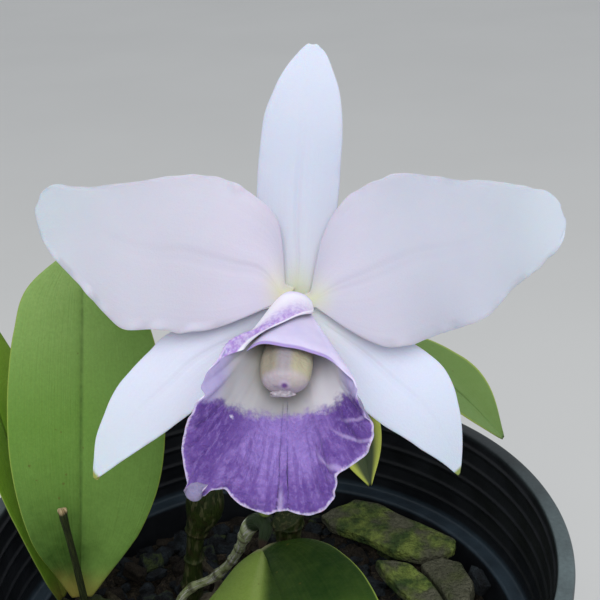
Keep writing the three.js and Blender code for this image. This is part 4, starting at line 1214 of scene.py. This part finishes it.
# Petals and sepals
tepalForm = {
    "rows": 134, "columns": 88, "groove": 0.16, "grooveWidth": 0.09, "veins": 0.006, "veinCount": 11,
    "frill": 2.4, "frillPatch": 9, "ragged": 0.3, "cloud": 0.32, "cloudSize": 17,
    # the tones beside the midrib and on the inner side are painted shade
    "tones": {
        "clouds": paint(224, 222, 236), "fan": paint(194, 184, 208), "veins": paint(186, 182, 206),
        "cells": paint(190, 190, 206), "midribShadows": paint(176, 170, 192), "margin": paint(236, 238, 246),
        "inner": paint(184, 182, 202),
    },
}
tepals = {
    "dorsal_sepal": {
        "base": [0.2, 3.5], "claw": 2.6, "angle": 86.4, "length": 52.1, "depth": -1.1, "blunt": 0.8,
        "left": [3.2, 5.6, 7.9, 9.5, 9.95, 9.9, 9.7, 9.3, 7.6, 5.5, 3.2],
        "right": [3.2, 5.4, 6.5, 7.5, 7.75, 7.8, 7.8, 7.5, 6.6, 5.1, 4.3],
        "arch": -1.5, "recurve": 6, "cup": 1.2, "ripple": 0, "waves": 0, "crimp": 0.15,
        "tones": [paint(204, 208, 219), paint(197, 205, 223), paint(211, 219, 236)],
        "baseTone": paint(200, 204, 168), "baseEnd": 0.09,
        "tipTone": paint(222, 228, 234), "tipEnds": [0.985, 1.0],
    },
    "lateral_sepal_left": {
        "base": [-2.7, -2.3], "claw": 1.4, "angle": 221.6, "length": 54.8, "depth": -1.2, "blunt": 0.96,
        "left": [1.6, 2.6, 2.7, 2.6, 2.9, 3.1, 2.8, 2.3, 1.5, 0.8, 0.2],
        "right": [1.8, 4.6, 8, 11, 13, 12.8, 12.4, 11.5, 9.1, 5.9, 0.4],
        "arch": -1.5, "recurve": 7, "cup": 1.2, "ripple": 0, "waves": 0, "crimp": 0.15,
        "tones": [paint(212, 214, 230), paint(224, 230, 248), paint(209, 222, 232)],
        # this sepal's base tone is painted shade, the shadow of the petal above it
        "baseTone": paint(170, 175, 186), "baseEnd": 0.3,
        "tipTone": paint(152, 158, 82), "tipEnds": [0.972, 0.988],
    },
    "lateral_sepal_right": {
        "base": [2.5, -2.5], "claw": 1.4, "angle": 313.2, "length": 48.2, "depth": -1.2, "blunt": 0.96,
        "left": [1.8, 4.6, 7.6, 10, 11.7, 12.9, 13.2, 11.8, 9, 5.3, 0.4],
        "right": [1.6, 2.6, 3.4, 4.1, 5, 5.4, 4.7, 3.4, 2.3, 1.1, 0.4],
        "arch": -1.5, "recurve": 7, "cup": 1.2, "ripple": 0, "waves": 0, "crimp": 0.15,
        "tones": [paint(214, 216, 232), paint(224, 232, 252), paint(198, 212, 226)],
        # this sepal's base tone is painted light that evens out the petal's shadow
        "baseTone": paint(228, 233, 234), "baseEnd": 0.3,
        "tipTone": paint(138, 152, 84), "tipEnds": [0.968, 0.984],
    },
    "petal_left": {
        "base": [-3.4, 0.6], "claw": 2.2, "angle": 158.6, "length": 56.2, "depth": 0.7, "blunt": 0.85,
        "left": [1.1, 6.7, 11.6, 14.4, 15.9, 18, 16.2, 13.3, 10.7, 7.9, 4.5],
        "right": [3.2, 14.2, 17.6, 18.9, 18.6, 16.6, 13.8, 10.7, 8.1, 6.1, 7],
        "arch": 2.4, "recurve": 7, "cup": 1.5, "ripple": 0.8, "waves": 2.5, "crimp": 1,
        "tones": [paint(214, 208, 226), paint(196, 196, 210), paint(190, 196, 206)],
        "baseTone": paint(224, 224, 178), "baseEnd": 0.06,
        "tipTone": paint(194, 202, 212), "tipEnds": [0.75, 1.0],
        "inner": [0.45, 0.05],
    },
    "petal_right": {
        "base": [3.4, 0.6], "claw": 2.2, "angle": 18.9, "length": 57.2, "depth": 0.7, "blunt": 0.85,
        "left": [1.4, 10.9, 16.4, 18.6, 19, 17.8, 15.1, 12.7, 10.5, 7.6, 7.2],
        "right": [2, 9.6, 14.7, 16, 15.7, 16, 15.2, 12.3, 10.2, 8.2, 6.8],
        "arch": 2.4, "recurve": 7, "cup": 1.5, "ripple": 0.9, "waves": 2.5, "crimp": 0.9,
        "tones": [paint(206, 203, 220), paint(186, 190, 205), paint(190, 199, 209)],
        "baseTone": paint(222, 226, 178), "baseEnd": 0.06,
        "tipTone": paint(202, 210, 222), "tipEnds": [0.75, 1.0],
        "inner": [0.55, 0.95],
    },
}


# A petal: s runs from its right margin (-1) to its left one (1), across half widths that are
# measured from a straight midline; its end is rounded off; its depth is an arch, a recurved tip, a
# cupped section, a rippled and irregularly crimped margin, low veins and a soft groove
def tepalShell(tepal, seed):
    share = np.linspace(0, 1, tepalForm["rows"] + 1)
    share = 0.5 * share + 0.25 * (1 - np.cos(np.pi * share))
    start = -tepal["claw"] / tepal["length"]
    s = acrossBlade(tepalForm["columns"])
    uu, ss = np.meshgrid(start + (1 - start) * share, s, indexing="ij")
    turn = math.radians(tepal["angle"])
    along = np.array([math.cos(turn), math.sin(turn)])
    across = np.array([-math.sin(turn), math.cos(turn)])
    left, right = through(tepal["left"])(uu), through(tepal["right"])(uu)
    past = np.maximum(0, (uu - tepal["blunt"]) / (1 - tepal["blunt"]))
    rounded = np.sqrt(np.maximum(0.0002, 1 - past**3))
    reach = rounded * (left - right + ss * (left + right)) / 2
    edgewise = np.stack([uu * tepal["length"], tepalForm["frillPatch"] * np.sign(ss), 0 * uu], -1)
    swell = np.sin(np.pi * np.maximum(uu, 0))
    ragged = noise(edgewise, tepalForm["frill"], seed + 9) * ease(0.88, 1, np.abs(ss)) * ease(0.1, 0.3, uu)
    reach = reach + tepalForm["ragged"] * tepal["crimp"] * ragged * np.sign(ss)
    wave = tepal["ripple"] * np.sin(2 * np.pi * tepal["waves"] * uu + ss) * np.abs(ss) ** 3 * swell
    cup = -tepal["cup"] * ss**2 * np.sin(np.pi * np.clip(1.2 * uu, 0, 1))
    patch = np.abs(noise(edgewise, tepalForm["frillPatch"], seed + 3))
    frill = noise(edgewise, tepalForm["frill"], seed) * (0.35 + patch)
    crimp = tepal["crimp"] * frill * ease(0.84, 1, np.abs(ss)) * ease(0.06, 0.3, uu)
    fade = ease(0, 0.1, uu) * ease(1, 0.6, uu)
    veins = tepalForm["veins"] * np.cos(2 * np.pi * tepalForm["veinCount"] * ss + 3 * np.sin(3 * uu)) * fade
    groove = -tepalForm["groove"] * bell(ss, 0, tepalForm["grooveWidth"])
    groove = groove * ease(0.02, 0.12, uu) * ease(0.95, 0.3, uu)
    flat = np.array(tepal["base"]) + along * (tepal["length"] * uu)[..., None] + across * reach[..., None]
    swollen = noise(np.stack([flat[..., 0], flat[..., 1], 0 * uu], -1), tepalForm["cloudSize"], seed + 6)
    depth = tepal["depth"] + tepal["arch"] * swell - tepal["recurve"] * np.maximum(uu, 0) ** 2
    depth = depth + cup + wave + crimp + veins + groove + tepalForm["cloud"] * swollen * ease(0, 0.2, uu)
    middle = np.concatenate([flat, depth[..., None]], -1)
    half = 0.5 * flower["thickness"] * rounding(ss, 20) * rounding(2 * share - 1, 160)[:, None]
    shell = bladeShell(middle, half, share, (s + 1) / 2)
    shell["points"] = toPot(shell["points"])
    return shell


# Petal: three pale tones along the blade, soft clouds, faint veins that fan from the base, a fine
# grain, two painted soft shadows beside the midrib, a thin bright margin, painted shade on the inner
# side where one is given, and a tint at the base and the tip; on the lateral sepals the base tint is
# painted shade on the left one and painted light on the right one
def tepalMaterial(name, tepal):
    finish = {
        "Roughness": 0.55, "Specular IOR Level": 0.2, "Sheen Weight": 0.05, "Sheen Roughness": 0.4,
        "Subsurface Weight": 0.3, "Subsurface Scale": 0.0014,
    }
    material, tree = newMaterial(name, finish)
    along, across = shapePlace(tree)
    first, second, third = tepal["tones"]
    tones = tepalForm["tones"]
    cells = cloudy(tree, 2600, 0.7)
    offMidrib = abs(across - 0.5)
    fade = mask(along, 0.8, 0.1)
    colour = layered(
        blend(mask(along, 0.08, 0.5), first, second),
        (mask(along, 0.5, 1.0), third),
        (cloudy(tree, 40, 0.7) * 0.22, tones["clouds"]),
        (streaky(tree, 1.6, 26, 7) * fade * 0.1, tones["fan"]),
        (streaky(tree, 3, 90, 9) * fade * 0.07, tones["veins"]),
        (cells * 0.1, tones["cells"]),
        # painted soft shadows beside the midrib
        (near(offMidrib, 0.028, 0.035) * mask(along, 0.85, 0.05) * 0.2, tones["midribShadows"]),
        (mask(offMidrib, 0.492, 0.4995) * 0.4, tones["margin"]),
    )
    if "inner" in tepal:
        # painted shade on the petal's inner side near its base
        shaded = mask(across, *tepal["inner"]) * mask(along, 0.36, 0.04)
        colour = blend(shaded * 0.75, colour, tones["inner"])
    # the tint at the base: on the lateral sepals it is painted shade on the left one and painted light on the
    # right one
    foot = mask(along + offMidrib * 0.12, tepal["baseEnd"] + 0.1, 0.0)
    end = mask(along, *tepal["tipEnds"])
    colour = layered(colour, (foot * 0.85, tepal["baseTone"]), (end, tepal["tipTone"]))
    return finishMaterial(material, colour, cells, 0.00003)


for seed, (node, tepal) in enumerate(tepals.items()):
    makePiece(node, tepalShell(tepal, 60 + seed), tepalMaterial(pieceName(node) + "White", tepal))
print("petals and sepals open")

# The lip
# Each point of its margin is [angle round the axis from straight down, distance from the axis,
# distance along the axis], from the left lobe's corner, round the front, to the hood. violetFrom is
# the u at which the violet starts, evenly spaced along the margin. A ridge is its place along the
# margin, width and height; a billow or a frill is the size, height and seed of a noise.
lip = {
    "margin": [
        [-118, 9.7, 19], [-108, 12.7, 21.6], [-103, 14.8, 24.2], [-96, 15.6, 26.9], [-94, 14.4, 28.6],
        [-92, 15.9, 29.8], [-87, 17.3, 31.2], [-78, 18.8, 32.9], [-68, 20.5, 35], [-60, 21.3, 37.4],
        [-54, 20.9, 40.8], [-48, 17.6, 40.2], [-41, 16.6, 39.2], [-32, 17.4, 40], [-21.5, 17.9, 40.6],
        [-9, 18.3, 40.8], [-3, 17.2, 40.1], [4, 17.7, 40.2], [14, 19, 40.6], [24, 18.8, 39.9], [33, 17.5, 39],
        [43, 14.6, 37.2], [51.6, 16.7, 34.6], [60, 17.7, 33.7], [73, 17.4, 32.5], [80.6, 16.9, 30.4],
        [93.4, 13.5, 29.2], [98.6, 14.1, 26.8], [105, 11.5, 23.8], [110, 9, 20.6], [128, 6.4, 19.8],
        [155, 5, 19.2], [180, 4.8, 19], [203, 5.4, 18.6], [224, 6.9, 18.2], [248, 8.3, 18.4],
    ],
    "radius": 2.5, "start": 1.6, "angles": [-250, -104, 0, 92, 165],
    "overlap": 1.8, "overlapEnds": [0.1, 0.24],
    "unwinding": 4.2, "wrapStart": 0.1, "wrapEnd": 0.12, "opening": [0.1, 0.1, 0.1, 0.35, 0.1],
    "body": [0.5, 0.6, 0.6, 0.9, 0.6], "bodyRadius": 7.4, "bodyShare": 0.85, "flare": [20, 36],
    "firstAlong": 0.36, "secondAlong": 0.7, "secondAlongFlared": 0.82, "samples": 72, "softening": 4,
    "flapEnd": 0.16, "flatten": 0.21, "bulge": 1.5, "rows": 136, "columns": 312,
    "crowding": 1.35,
    "violetFrom": [
        1.3, 1.3, 1.3, 1.25, 1.15, 1.0, 0.88, 0.76, 0.71, 0.672, 0.633, 0.605, 0.59, 0.588,
        0.582, 0.565, 0.552, 0.545, 0.542, 0.54, 0.538, 0.548, 0.562, 0.585, 0.612, 0.633, 0.658, 0.668,
        0.698, 0.798, 0.91, 1.1, *[1.3] * 9,
    ],
    "curl": {
        "at": 0.296, "width": 0.016, "from": 0.955, "turn": 176, "extra": 5.2, "folded": 0.75, "drop": 1.1,
    },
    "flapPress": 0.7, "blemish": [0.685, 0.247], "crestHighlights": [[0.435, 0.295], [0.447, 0.235], [0.406, 0.2]],
    "ridges": [
        [0.725, 0.01, 0.4], [0.675, 0.01, 0.4], [0.605, 0.014, 0.5], [0.36, 0.014, 0.4], [0.17, 0.012, 0.3],
    ],
    "grooves": [0.446, 0.466], "grooveWidth": 0.003, "grooveDepth": 0.3, "pleats": 34, "pleatDepth": 0.1,
    "billows": [[6, 0.45, 3], [2.6, 0.22, 4]], "frills": [[2.6, 0.7, 7], [1.3, 0.35, 8]],
    # the lit throat, the crown and the crest tones are painted light; the first throat tone is partly painted
    # shade
    "tones": {
        "throat": [paint(158, 154, 130), paint(174, 172, 178)], "litThroat": paint(214, 211, 219),
        "lobes": [paint(152, 141, 190), paint(172, 162, 208)], "spots": paint(150, 124, 186),
        "blade": [paint(98, 66, 146), paint(144, 114, 190)], "middle": paint(168, 142, 216),
        "front": paint(98, 68, 146), "corners": paint(84, 54, 130), "velvet": paint(98, 70, 152),
        "lightRays": paint(166, 140, 210), "darkRays": paint(98, 66, 146), "crestHighlights": paint(196, 178, 226),
        "strip": paint(214, 204, 234), "dots": paint(74, 54, 108), "rim": paint(220, 210, 240),
        "blemish": paint(206, 200, 222), "tube": [paint(206, 198, 232), paint(222, 214, 242)],
        "lowerOutside": [paint(110, 102, 142), paint(132, 124, 164)], "crown": paint(246, 242, 254),
        "flap": paint(166, 134, 206), "hem": paint(240, 236, 252), "mouth": paint(150, 122, 200),
    },
}


# The margin's three values, evenly spaced along it, as they are and smoothed by their neighbours
def lipCurves():
    margin = np.array(lip["margin"], float)
    turn = np.radians(margin[:, 0])
    flat = np.stack([margin[:, 1] * np.sin(turn), -margin[:, 1] * np.cos(turn), margin[:, 2]], -1)
    travelled = np.concatenate([[0], np.cumsum(np.linalg.norm(np.diff(flat, axis=0), axis=1))])
    target = np.linspace(0, travelled[-1], lip["samples"] + 1)
    even = [np.interp(target, travelled, margin[:, k]) for k in range(3)]
    reach = lip["softening"]
    ones = np.convolve(np.ones(len(target)), np.ones(2 * reach + 1), "same")
    soft = [np.convolve(values, np.ones(2 * reach + 1), "same") / ones for values in even]
    return [through(values) for values in even], [through(values) for values in soft]


# The lip's sheet: a tube round the axis that unwinds and flares, as a cubic curve from its base
# (u = 0) to its margin (u = 1) for each place t along the margin; the flap that lies over the hood
# is flattened along its top, bulges once and is pressed down at its end
def lipSheet(u, t):
    edge, soft = lipCurves()
    unwound = (1 - np.exp(-lip["unwinding"] * u)) / (1 - math.exp(-lip["unwinding"]))
    wrapped = ease(lip["wrapStart"], 1, u)
    spiral = wrapped + (unwound - wrapped) * ease(0, lip["wrapEnd"], t)
    base = through(lip["angles"])(t)
    turn = np.radians(base + (edge[0](t) - base) * spiral)
    lifted = lip["overlap"] * (1 - ease(*lip["overlapEnds"], t))
    radiusSoft, alongSoft = soft[1](t), soft[2](t)
    flare = ease(*lip["flare"], alongSoft)
    body = lip["radius"] + (radiusSoft - lip["radius"]) * through(lip["body"])(t)
    body = body + (lip["bodyRadius"] - body) * lip["bodyShare"] * flare + 0.4 * lifted
    foot = lip["radius"] + lifted
    second = lip["secondAlong"] + (lip["secondAlongFlared"] - lip["secondAlong"]) * flare
    opened = through(lip["opening"])(t) * (radiusSoft - lip["radius"])
    radii = [foot, foot + opened, body, edge[1](t)]
    alongs = [lip["start"] + 0 * t, lip["firstAlong"] * alongSoft, second * alongSoft, edge[2](t)]
    weights = [(1 - u) ** 3, 3 * u * (1 - u) ** 2, 3 * u * u * (1 - u), u**3]
    radius = sum(value * weight for value, weight in zip(radii, weights))
    out = sum(value * weight for value, weight in zip(alongs, weights))
    onFlap = ease(0, lip["flapEnd"], lip["flapEnd"] - t) * np.maximum(0, -np.cos(turn)) ** 1.5
    radius = radius * (1 - lip["flatten"] * onFlap * bell(u, 0.62, 0.21))
    radius = radius + lip["bulge"] * bell(t, 0.035, 0.022) * bell(u, 0.84, 0.1)
    radius = radius - lip["flapPress"] * ease(0.03, 0, t) * ease(0.65, 0.85, u)
    return fromLipAxis(radius * np.sin(turn), -radius * np.cos(turn), out)


# Lengthens the end of each row of a sheet, past the share start, and bends its first part, up to
# the share folded, evenly through an angle; the rest stays straight, and all of it sinks by drop
def curlMargin(sheet, u, start, turn, extra, folded, drop):
    first = int(np.searchsorted(u, start))
    normal = unit(np.cross(np.gradient(sheet, axis=0), np.gradient(sheet, axis=1)))[first]
    heading = unit(np.gradient(sheet, axis=0))[first]
    steps = np.linalg.norm(np.diff(sheet[first:], axis=0), axis=-1)
    arc = np.concatenate([np.zeros((1, sheet.shape[1])), np.cumsum(steps, axis=0)])
    longer = arc * (arc[-1] + extra) / arc[-1]
    bend = turn * np.clip(longer / (folded * longer[-1]), 0, 1)
    bend = 0.5 * (bend[1:] + bend[:-1])
    step = np.diff(longer, axis=0)
    ahead = np.concatenate([0 * arc[:1], np.cumsum(np.cos(bend) * step, axis=0)]) - arc
    aside = np.concatenate([0 * arc[:1], np.cumsum(np.sin(bend) * step, axis=0)])
    curled = sheet.copy()
    curled[first:] += ahead[..., None] * heading + aside[..., None] * normal
    curled[first:, :, 1] -= drop * ease(0, 0.5, longer / longer[-1])
    return curled


# The lip: its sheet with one curled margin, then ridges, pleats, billows, a frilled rim and two
# grooves as a rise along the normal, and a blade that thins towards the margin
def lipShell():
    u = 1 - (1 - np.linspace(0, 1, lip["rows"] + 1)) ** lip["crowding"]
    t = np.linspace(0, 1, lip["columns"] + 1)
    uu, tt = np.meshgrid(u, t, indexing="ij")
    sheet = lipSheet(uu, tt)
    curl = lip["curl"]
    curled = np.exp(-(((t - curl["at"]) / curl["width"]) ** 4))
    turn = math.radians(curl["turn"]) * curled
    extra, drop = curl["extra"] * curled, curl["drop"] * curled
    sheet = curlMargin(sheet, u, curl["from"], turn, extra, curl["folded"], drop)
    normal = unit(np.cross(np.gradient(sheet, axis=0), np.gradient(sheet, axis=1)))
    blade = ease(0.5, 0.75, uu) * (ease(0.12, 0.2, tt) * ease(0.8, 0.72, tt))
    rise = sum(height * bell(tt, at, width) * ease(0.6, 0.85, uu) for at, width, height in lip["ridges"])
    pleats = np.cos(2 * np.pi * lip["pleats"] * tt + 4 * np.sin(9 * tt) + 2 * uu) * ease(0.55, 0.95, uu)
    rise = rise + blade * lip["pleatDepth"] * pleats
    rise = rise + blade * sum(height * noise(sheet, size, seed) for size, height, seed in lip["billows"])
    frilled = ease(0.9, 1, uu) * ease(0.1, 0.16, tt) * ease(0.82, 0.76, tt) * (1 - curled)
    rise = rise + frilled * sum(height * noise(sheet, size, seed) for size, height, seed in lip["frills"])
    groove = sum(bell(tt, line, lip["grooveWidth"]) for line in lip["grooves"])
    rise = rise - lip["grooveDepth"] * groove * ease(0.45, 0.6, uu)
    sheet = sheet + normal * rise[..., None]
    steps = np.linalg.norm(np.diff(sheet, axis=0), axis=-1)
    travelled = np.concatenate([np.zeros((1, len(t))), np.cumsum(steps, axis=0)])
    toMargin = travelled[-1][None] - travelled
    violet = (uu - through(lip["violetFrom"])(tt)) * travelled[-1][None]
    half = 0.5 * flower["thickness"] * rounding(2 * tt - 1, 90) * rounding(2 * uu - 1, 40)
    half = half * (0.55 + 0.45 * ease(0, 3, toMargin))
    shell = bladeShell(sheet, half, u, t, {"toMargin": toMargin, "violet": violet})
    shell["points"] = toPot(shell["points"])
    return shell


# Distance in metres from a point of the flower's own frame
def awayFrom(tree, point):
    place = (toPot(point) * millimetre).tolist()
    return addNode(tree, "VectorMath", (objectPlace(tree), place), 1, operation="DISTANCE")


# Lip: a pale throat, greener towards the column partly as painted shade and with painted light over
# its right side, and lilac side lobes; a velvety violet blade with a cloudy, spotted upper boundary,
# dark corners, rays, painted highlights along three crests, a lighter front and a thin pale rim; a
# white tube with painted light on the top of its roll and purple velvet along the flap
def lipMaterial():
    finish = {
        "Roughness": 0.55, "Specular IOR Level": 0.2, "Sheen Weight": 0.12, "Sheen Roughness": 0.4,
        "Subsurface Weight": 0.18, "Subsurface Scale": 0.001,
    }
    material, tree = newMaterial("lipVelvet", finish)
    tones = lip["tones"]
    u, t = shapePlace(tree)
    toMargin, violet = readValue(tree, "toMargin"), readValue(tree, "violet")
    patches, velvet, soft = cloudy(tree, 420, 1.2), cloudy(tree, 1300, 1.2), cloudy(tree, 500, 0.55)
    # throat and side lobes: the throat greener towards the column, partly its own tint and partly painted
    # shade, with painted light over its right side, and small violet spots on the pale side of the boundary
    lobes = mask(toMargin, 11.0, 3.5) * mask(u, 0.55, 0.75)
    dotted = mask(scattered(tree, 620.0), 0.4, 0.1) * mask(violet, -3.4, -0.5) * near(t, 0.5, 0.1, 0.04)
    inside = layered(
        blend(mask(u, 0.2, 0.6), *tones["throat"]),
        # painted light over the throat's right side, where the hood's shadow falls
        (mask(t, 0.46, 0.7) * 0.95, tones["litThroat"]),
        (lobes * 0.9, blend(soft, *tones["lobes"])),
        (dotted * 0.5, tones["spots"]),
    )
    # the violet blade: a light middle, a dark front and dark corners, velvet, light and dark rays
    middle = near(t, 0.46, 0.2, 0.05) * mask(toMargin, 4.0, 10.0)
    front = near(t, 0.52, 0.09, 0.04) * mask(toMargin, 9.0, 5.0)
    corners = calculate("MAXIMUM", near(t, 0.2, 0.15, 0.07), near(t, 0.71, 0.1, 0.05))
    lightRays = mask(streaky(tree, 26, 90, 13), 0.4, 1.1) * mask(u, 0.6, 0.8)
    darkRays = mask(streaky(tree, 5, 75, 9), 0.45, 0.85) * mask(u, 0.55, 0.75)
    blade = layered(
        blend(patches, *tones["blade"]),
        (middle * 0.6, tones["middle"]),
        (front * 0.6, tones["front"]),
        (corners * mask(toMargin, 0.5, 3.0) * 0.8, tones["corners"]),
        (velvet * 0.35, tones["velvet"]),
        (lightRays * 0.32, tones["lightRays"]),
        (darkRays * 0.45, tones["darkRays"]),
    )
    # painted highlights along three crests of the folds
    for line, slant in lip["crestHighlights"]:
        crestHighlight = near(t - u * slant, line, 0.007, 0.0005) * mask(u, 0.7, 0.86)
        blade = blend(crestHighlight * 0.5, blade, tones["crestHighlights"])
    boundary = violet + (soft - 0.5) * 2.2 + (velvet - 0.5) * 0.8
    # a paler strip down the middle under two dotted lines, then the pale rim and the blemish
    strip = near(t, 0.452, 0.007) * mask(u, 0.84, 0.97)
    inside = layered(inside, (mask(boundary, -1.3, 1.5), blade), (strip * 0.4, tones["strip"]))
    for line in lip["grooves"]:
        dots = near(t, line, 0.005, 0.001) * mask(velvet, 0.3, 0.7) * mask(u, 0.46, 0.52)
        inside = blend(dots * 0.75, inside, tones["dots"])
    rim = mask(toMargin + velvet * 0.3, 0.85, 0.3) * near(t, 0.43, 0.32, 0.28)
    blemish = awayFrom(tree, lipSheet(*np.array(lip["blemish"]))) + (patches - 0.5) * 0.0008
    inside = layered(inside, (rim * 0.75, tones["rim"]), (mask(blemish, 0.0009, 0.0005), tones["blemish"]))
    # the tube's outside: lilac on white, painted light as a white crown on the top of the roll, purple
    # velvet along the flap with a pale hem
    streak = mask(t, 0.007, 0.014) * mask(t, 0.075, 0.03) * mask(u, 0.0, 0.6) * (0.6 + 0.45 * velvet)
    outside = layered(
        blend(cloudy(tree, 150, 1.0), *tones["tube"]),
        (mask(violet, -2.0, 3.0) * 0.85, blend(patches, *tones["lowerOutside"])),
        # painted light on the top of the roll
        (mask(t, 0.16, 0.1) * mask(u, 0.0, 0.1), tones["crown"]),
        (streak, tones["flap"]),
        (mask(t, 0.012, 0.006) * mask(u, 0.2, 0.4) * 0.8, tones["hem"]),
        (mask(toMargin, 0.9, 0.3) * mask(t, 0.82, 0.86) * 0.75, tones["mouth"]),
    )
    colour = blend(readValue(tree, "back"), inside, outside)
    return finishMaterial(material, colour, velvet * mask(violet, -1.0, 1.0), 0.00016)


makePiece("lip", lipShell(), lipMaterial())
print("lip unrolled")

# Column and anther cap
column = {
    "start": 2.6, "end": 25.1, "roundedFrom": 0.93, "crowding": 1.4, "steps": 90, "sides": 80,
    "halfWidth": [1.5, 1.9, 2.5, 3.2, 3.9, 4.5, 4.9, 5.1, 5, 4.6, 3.4],
    "halfDepth": [1.4, 1.8, 2.2, 2.6, 2.9, 3.1, 3.2, 3.3, 3.3, 3.1, 2.5],
    "ridge": 0.3, "ridgeWidth": 0.35, "furrow": 0.3, "furrowAt": 0.75, "furrowWidth": 0.25, "dotAbove": 0.55,
    "tones": {
        "wax": [paint(158, 150, 156), paint(164, 156, 162)], "sides": paint(160, 152, 128),
        "litSide": paint(186, 180, 152), "tip": paint(184, 172, 182),
        "halo": paint(196, 176, 210), "dot": paint(118, 80, 148),
    },
}
antherCap = {
    "halfWidth": 2.2, "halfHeight": 0.7, "halfLength": 0.7, "aside": -0.35, "below": 0.4,
    "teeth": 7, "toothDepth": 0.18, "rings": 40, "sides": 72,
    "wax": [paint(140, 130, 140), paint(180, 172, 184)], "shadowAndStain": paint(96, 88, 52),
}


# The column: oval rings along the lip's axis that close round at the tip, with a ridge along the
# top between two furrows
def columnShell():
    u = 1 - (1 - np.linspace(0, 1, column["steps"] + 1)) ** column["crowding"]
    angle = 2 * np.pi * np.arange(column["sides"]) / column["sides"]
    uu, aa = np.meshgrid(u, angle, indexing="ij")
    past = np.maximum(0, (uu - column["roundedFrom"]) / (1 - column["roundedFrom"]))
    closing = np.sqrt(np.maximum(0.0004, 1 - past**2.5))
    wide, deep = through(column["halfWidth"])(uu) * closing, through(column["halfDepth"])(uu) * closing
    fade = ease(0.1, 0.3, uu) * ease(0.97, 0.8, uu)
    fromTop = np.arccos(np.clip(np.cos(aa - np.pi / 2), -1, 1))
    ridge = column["ridge"] * bell(fromTop, 0, column["ridgeWidth"])
    furrow = column["furrow"] * bell(fromTop, column["furrowAt"], column["furrowWidth"])
    scale = 1 + (ridge - furrow) * fade / np.maximum(deep, 0.5)
    out = column["start"] + (column["end"] - column["start"]) * uu
    rings = fromLipAxis(wide * np.cos(aa) * scale, deep * np.sin(aa) * scale, out)
    poles = fromLipAxis(np.zeros(2), np.zeros(2), np.array([column["start"], column["end"]]))
    shell = ringShell(rings, poles, u)
    shell["points"] = toPot(shell["points"])
    return shell


# Column: waxy and pinkish grey, olive down its sides, with painted light in cream down one side,
# pinkish white towards the tip, with a purple dot in a lilac halo just above the cap
def columnMaterial():
    finish = {
        "Roughness": 0.45, "Specular IOR Level": 0.3, "Subsurface Weight": 0.2, "Subsurface Scale": 0.001,
    }
    material, tree = newMaterial("columnWax", finish)
    tones = column["tones"]
    u, v = shapePlace(tree)
    sides = mask(abs(v - 0.25), 0.02, 0.075) * mask(u, 0.97, 0.86) * ramp(v, 0.2, 0.3, 1.0, 0.8)
    away = awayFrom(tree, fromLipAxis(0, column["dotAbove"], column["end"]))
    colour = layered(
        blend(streaky(tree, 3, 50, 5), *tones["wax"]),
        (sides, tones["sides"]),
        # painted light down one side
        (mask(v, 0.24, 0.16), tones["litSide"]),
        (mask(u, 0.88, 0.96) * 0.7, tones["tip"]),
        (mask(away, 0.0016, 0.0008) * 0.5, tones["halo"]),
        (mask(away, 0.0009, 0.0002), tones["dot"]),
    )
    return finishMaterial(material, colour, cloudy(tree, 1200, 0.8), 0.0001)


# The cap: a small dome with a toothed edge
def capShell():
    turn = np.linspace(0, np.pi, antherCap["rings"] + 2)[1:-1]
    angle = 2 * np.pi * np.arange(antherCap["sides"]) / antherCap["sides"]
    tt, aa = np.meshgrid(turn, angle, indexing="ij")
    teeth = 1 + antherCap["toothDepth"] * np.cos(antherCap["teeth"] * aa) * np.sin(tt) ** 4
    right = antherCap["halfWidth"] * np.sin(tt) * np.cos(aa) * teeth + antherCap["aside"]
    above = antherCap["halfHeight"] * np.sin(tt) * np.sin(aa) * teeth - antherCap["below"]
    middle = column["end"] + seat + antherCap["halfLength"]
    rings = fromLipAxis(right, above, middle - antherCap["halfLength"] * np.cos(tt))
    ends = middle + antherCap["halfLength"] * np.array([-1.0, 1.0])
    poles = fromLipAxis(np.full(2, antherCap["aside"]), np.full(2, -antherCap["below"]), ends)
    shell = ringShell(rings, poles, turn / np.pi)
    shell["points"] = toPot(shell["points"])
    return shell


# Cap: pale wax, with a painted shadow and a slight olive stain underneath
def capMaterial():
    finish = {
        "Roughness": 0.35, "Specular IOR Level": 0.45, "Subsurface Weight": 0.15, "Subsurface Scale": 0.0008,
    }
    material, tree = newMaterial("capWax", finish)
    fine = cloudy(tree, 1500, 0.9)
    # painted shadow and a slight stain under the cap
    shadowAndStain = near(shapePlace(tree)[1], 0.75, 0.2, 0.08)
    colour = blend(shadowAndStain * 0.85, blend(fine, *antherCap["wax"]), antherCap["shadowAndStain"])
    return finishMaterial(material, colour, fine, 0.0001)


makePiece("column", columnShell(), columnMaterial())
makePiece("anther_cap", capShell(), capMaterial())
print("column and cap set")
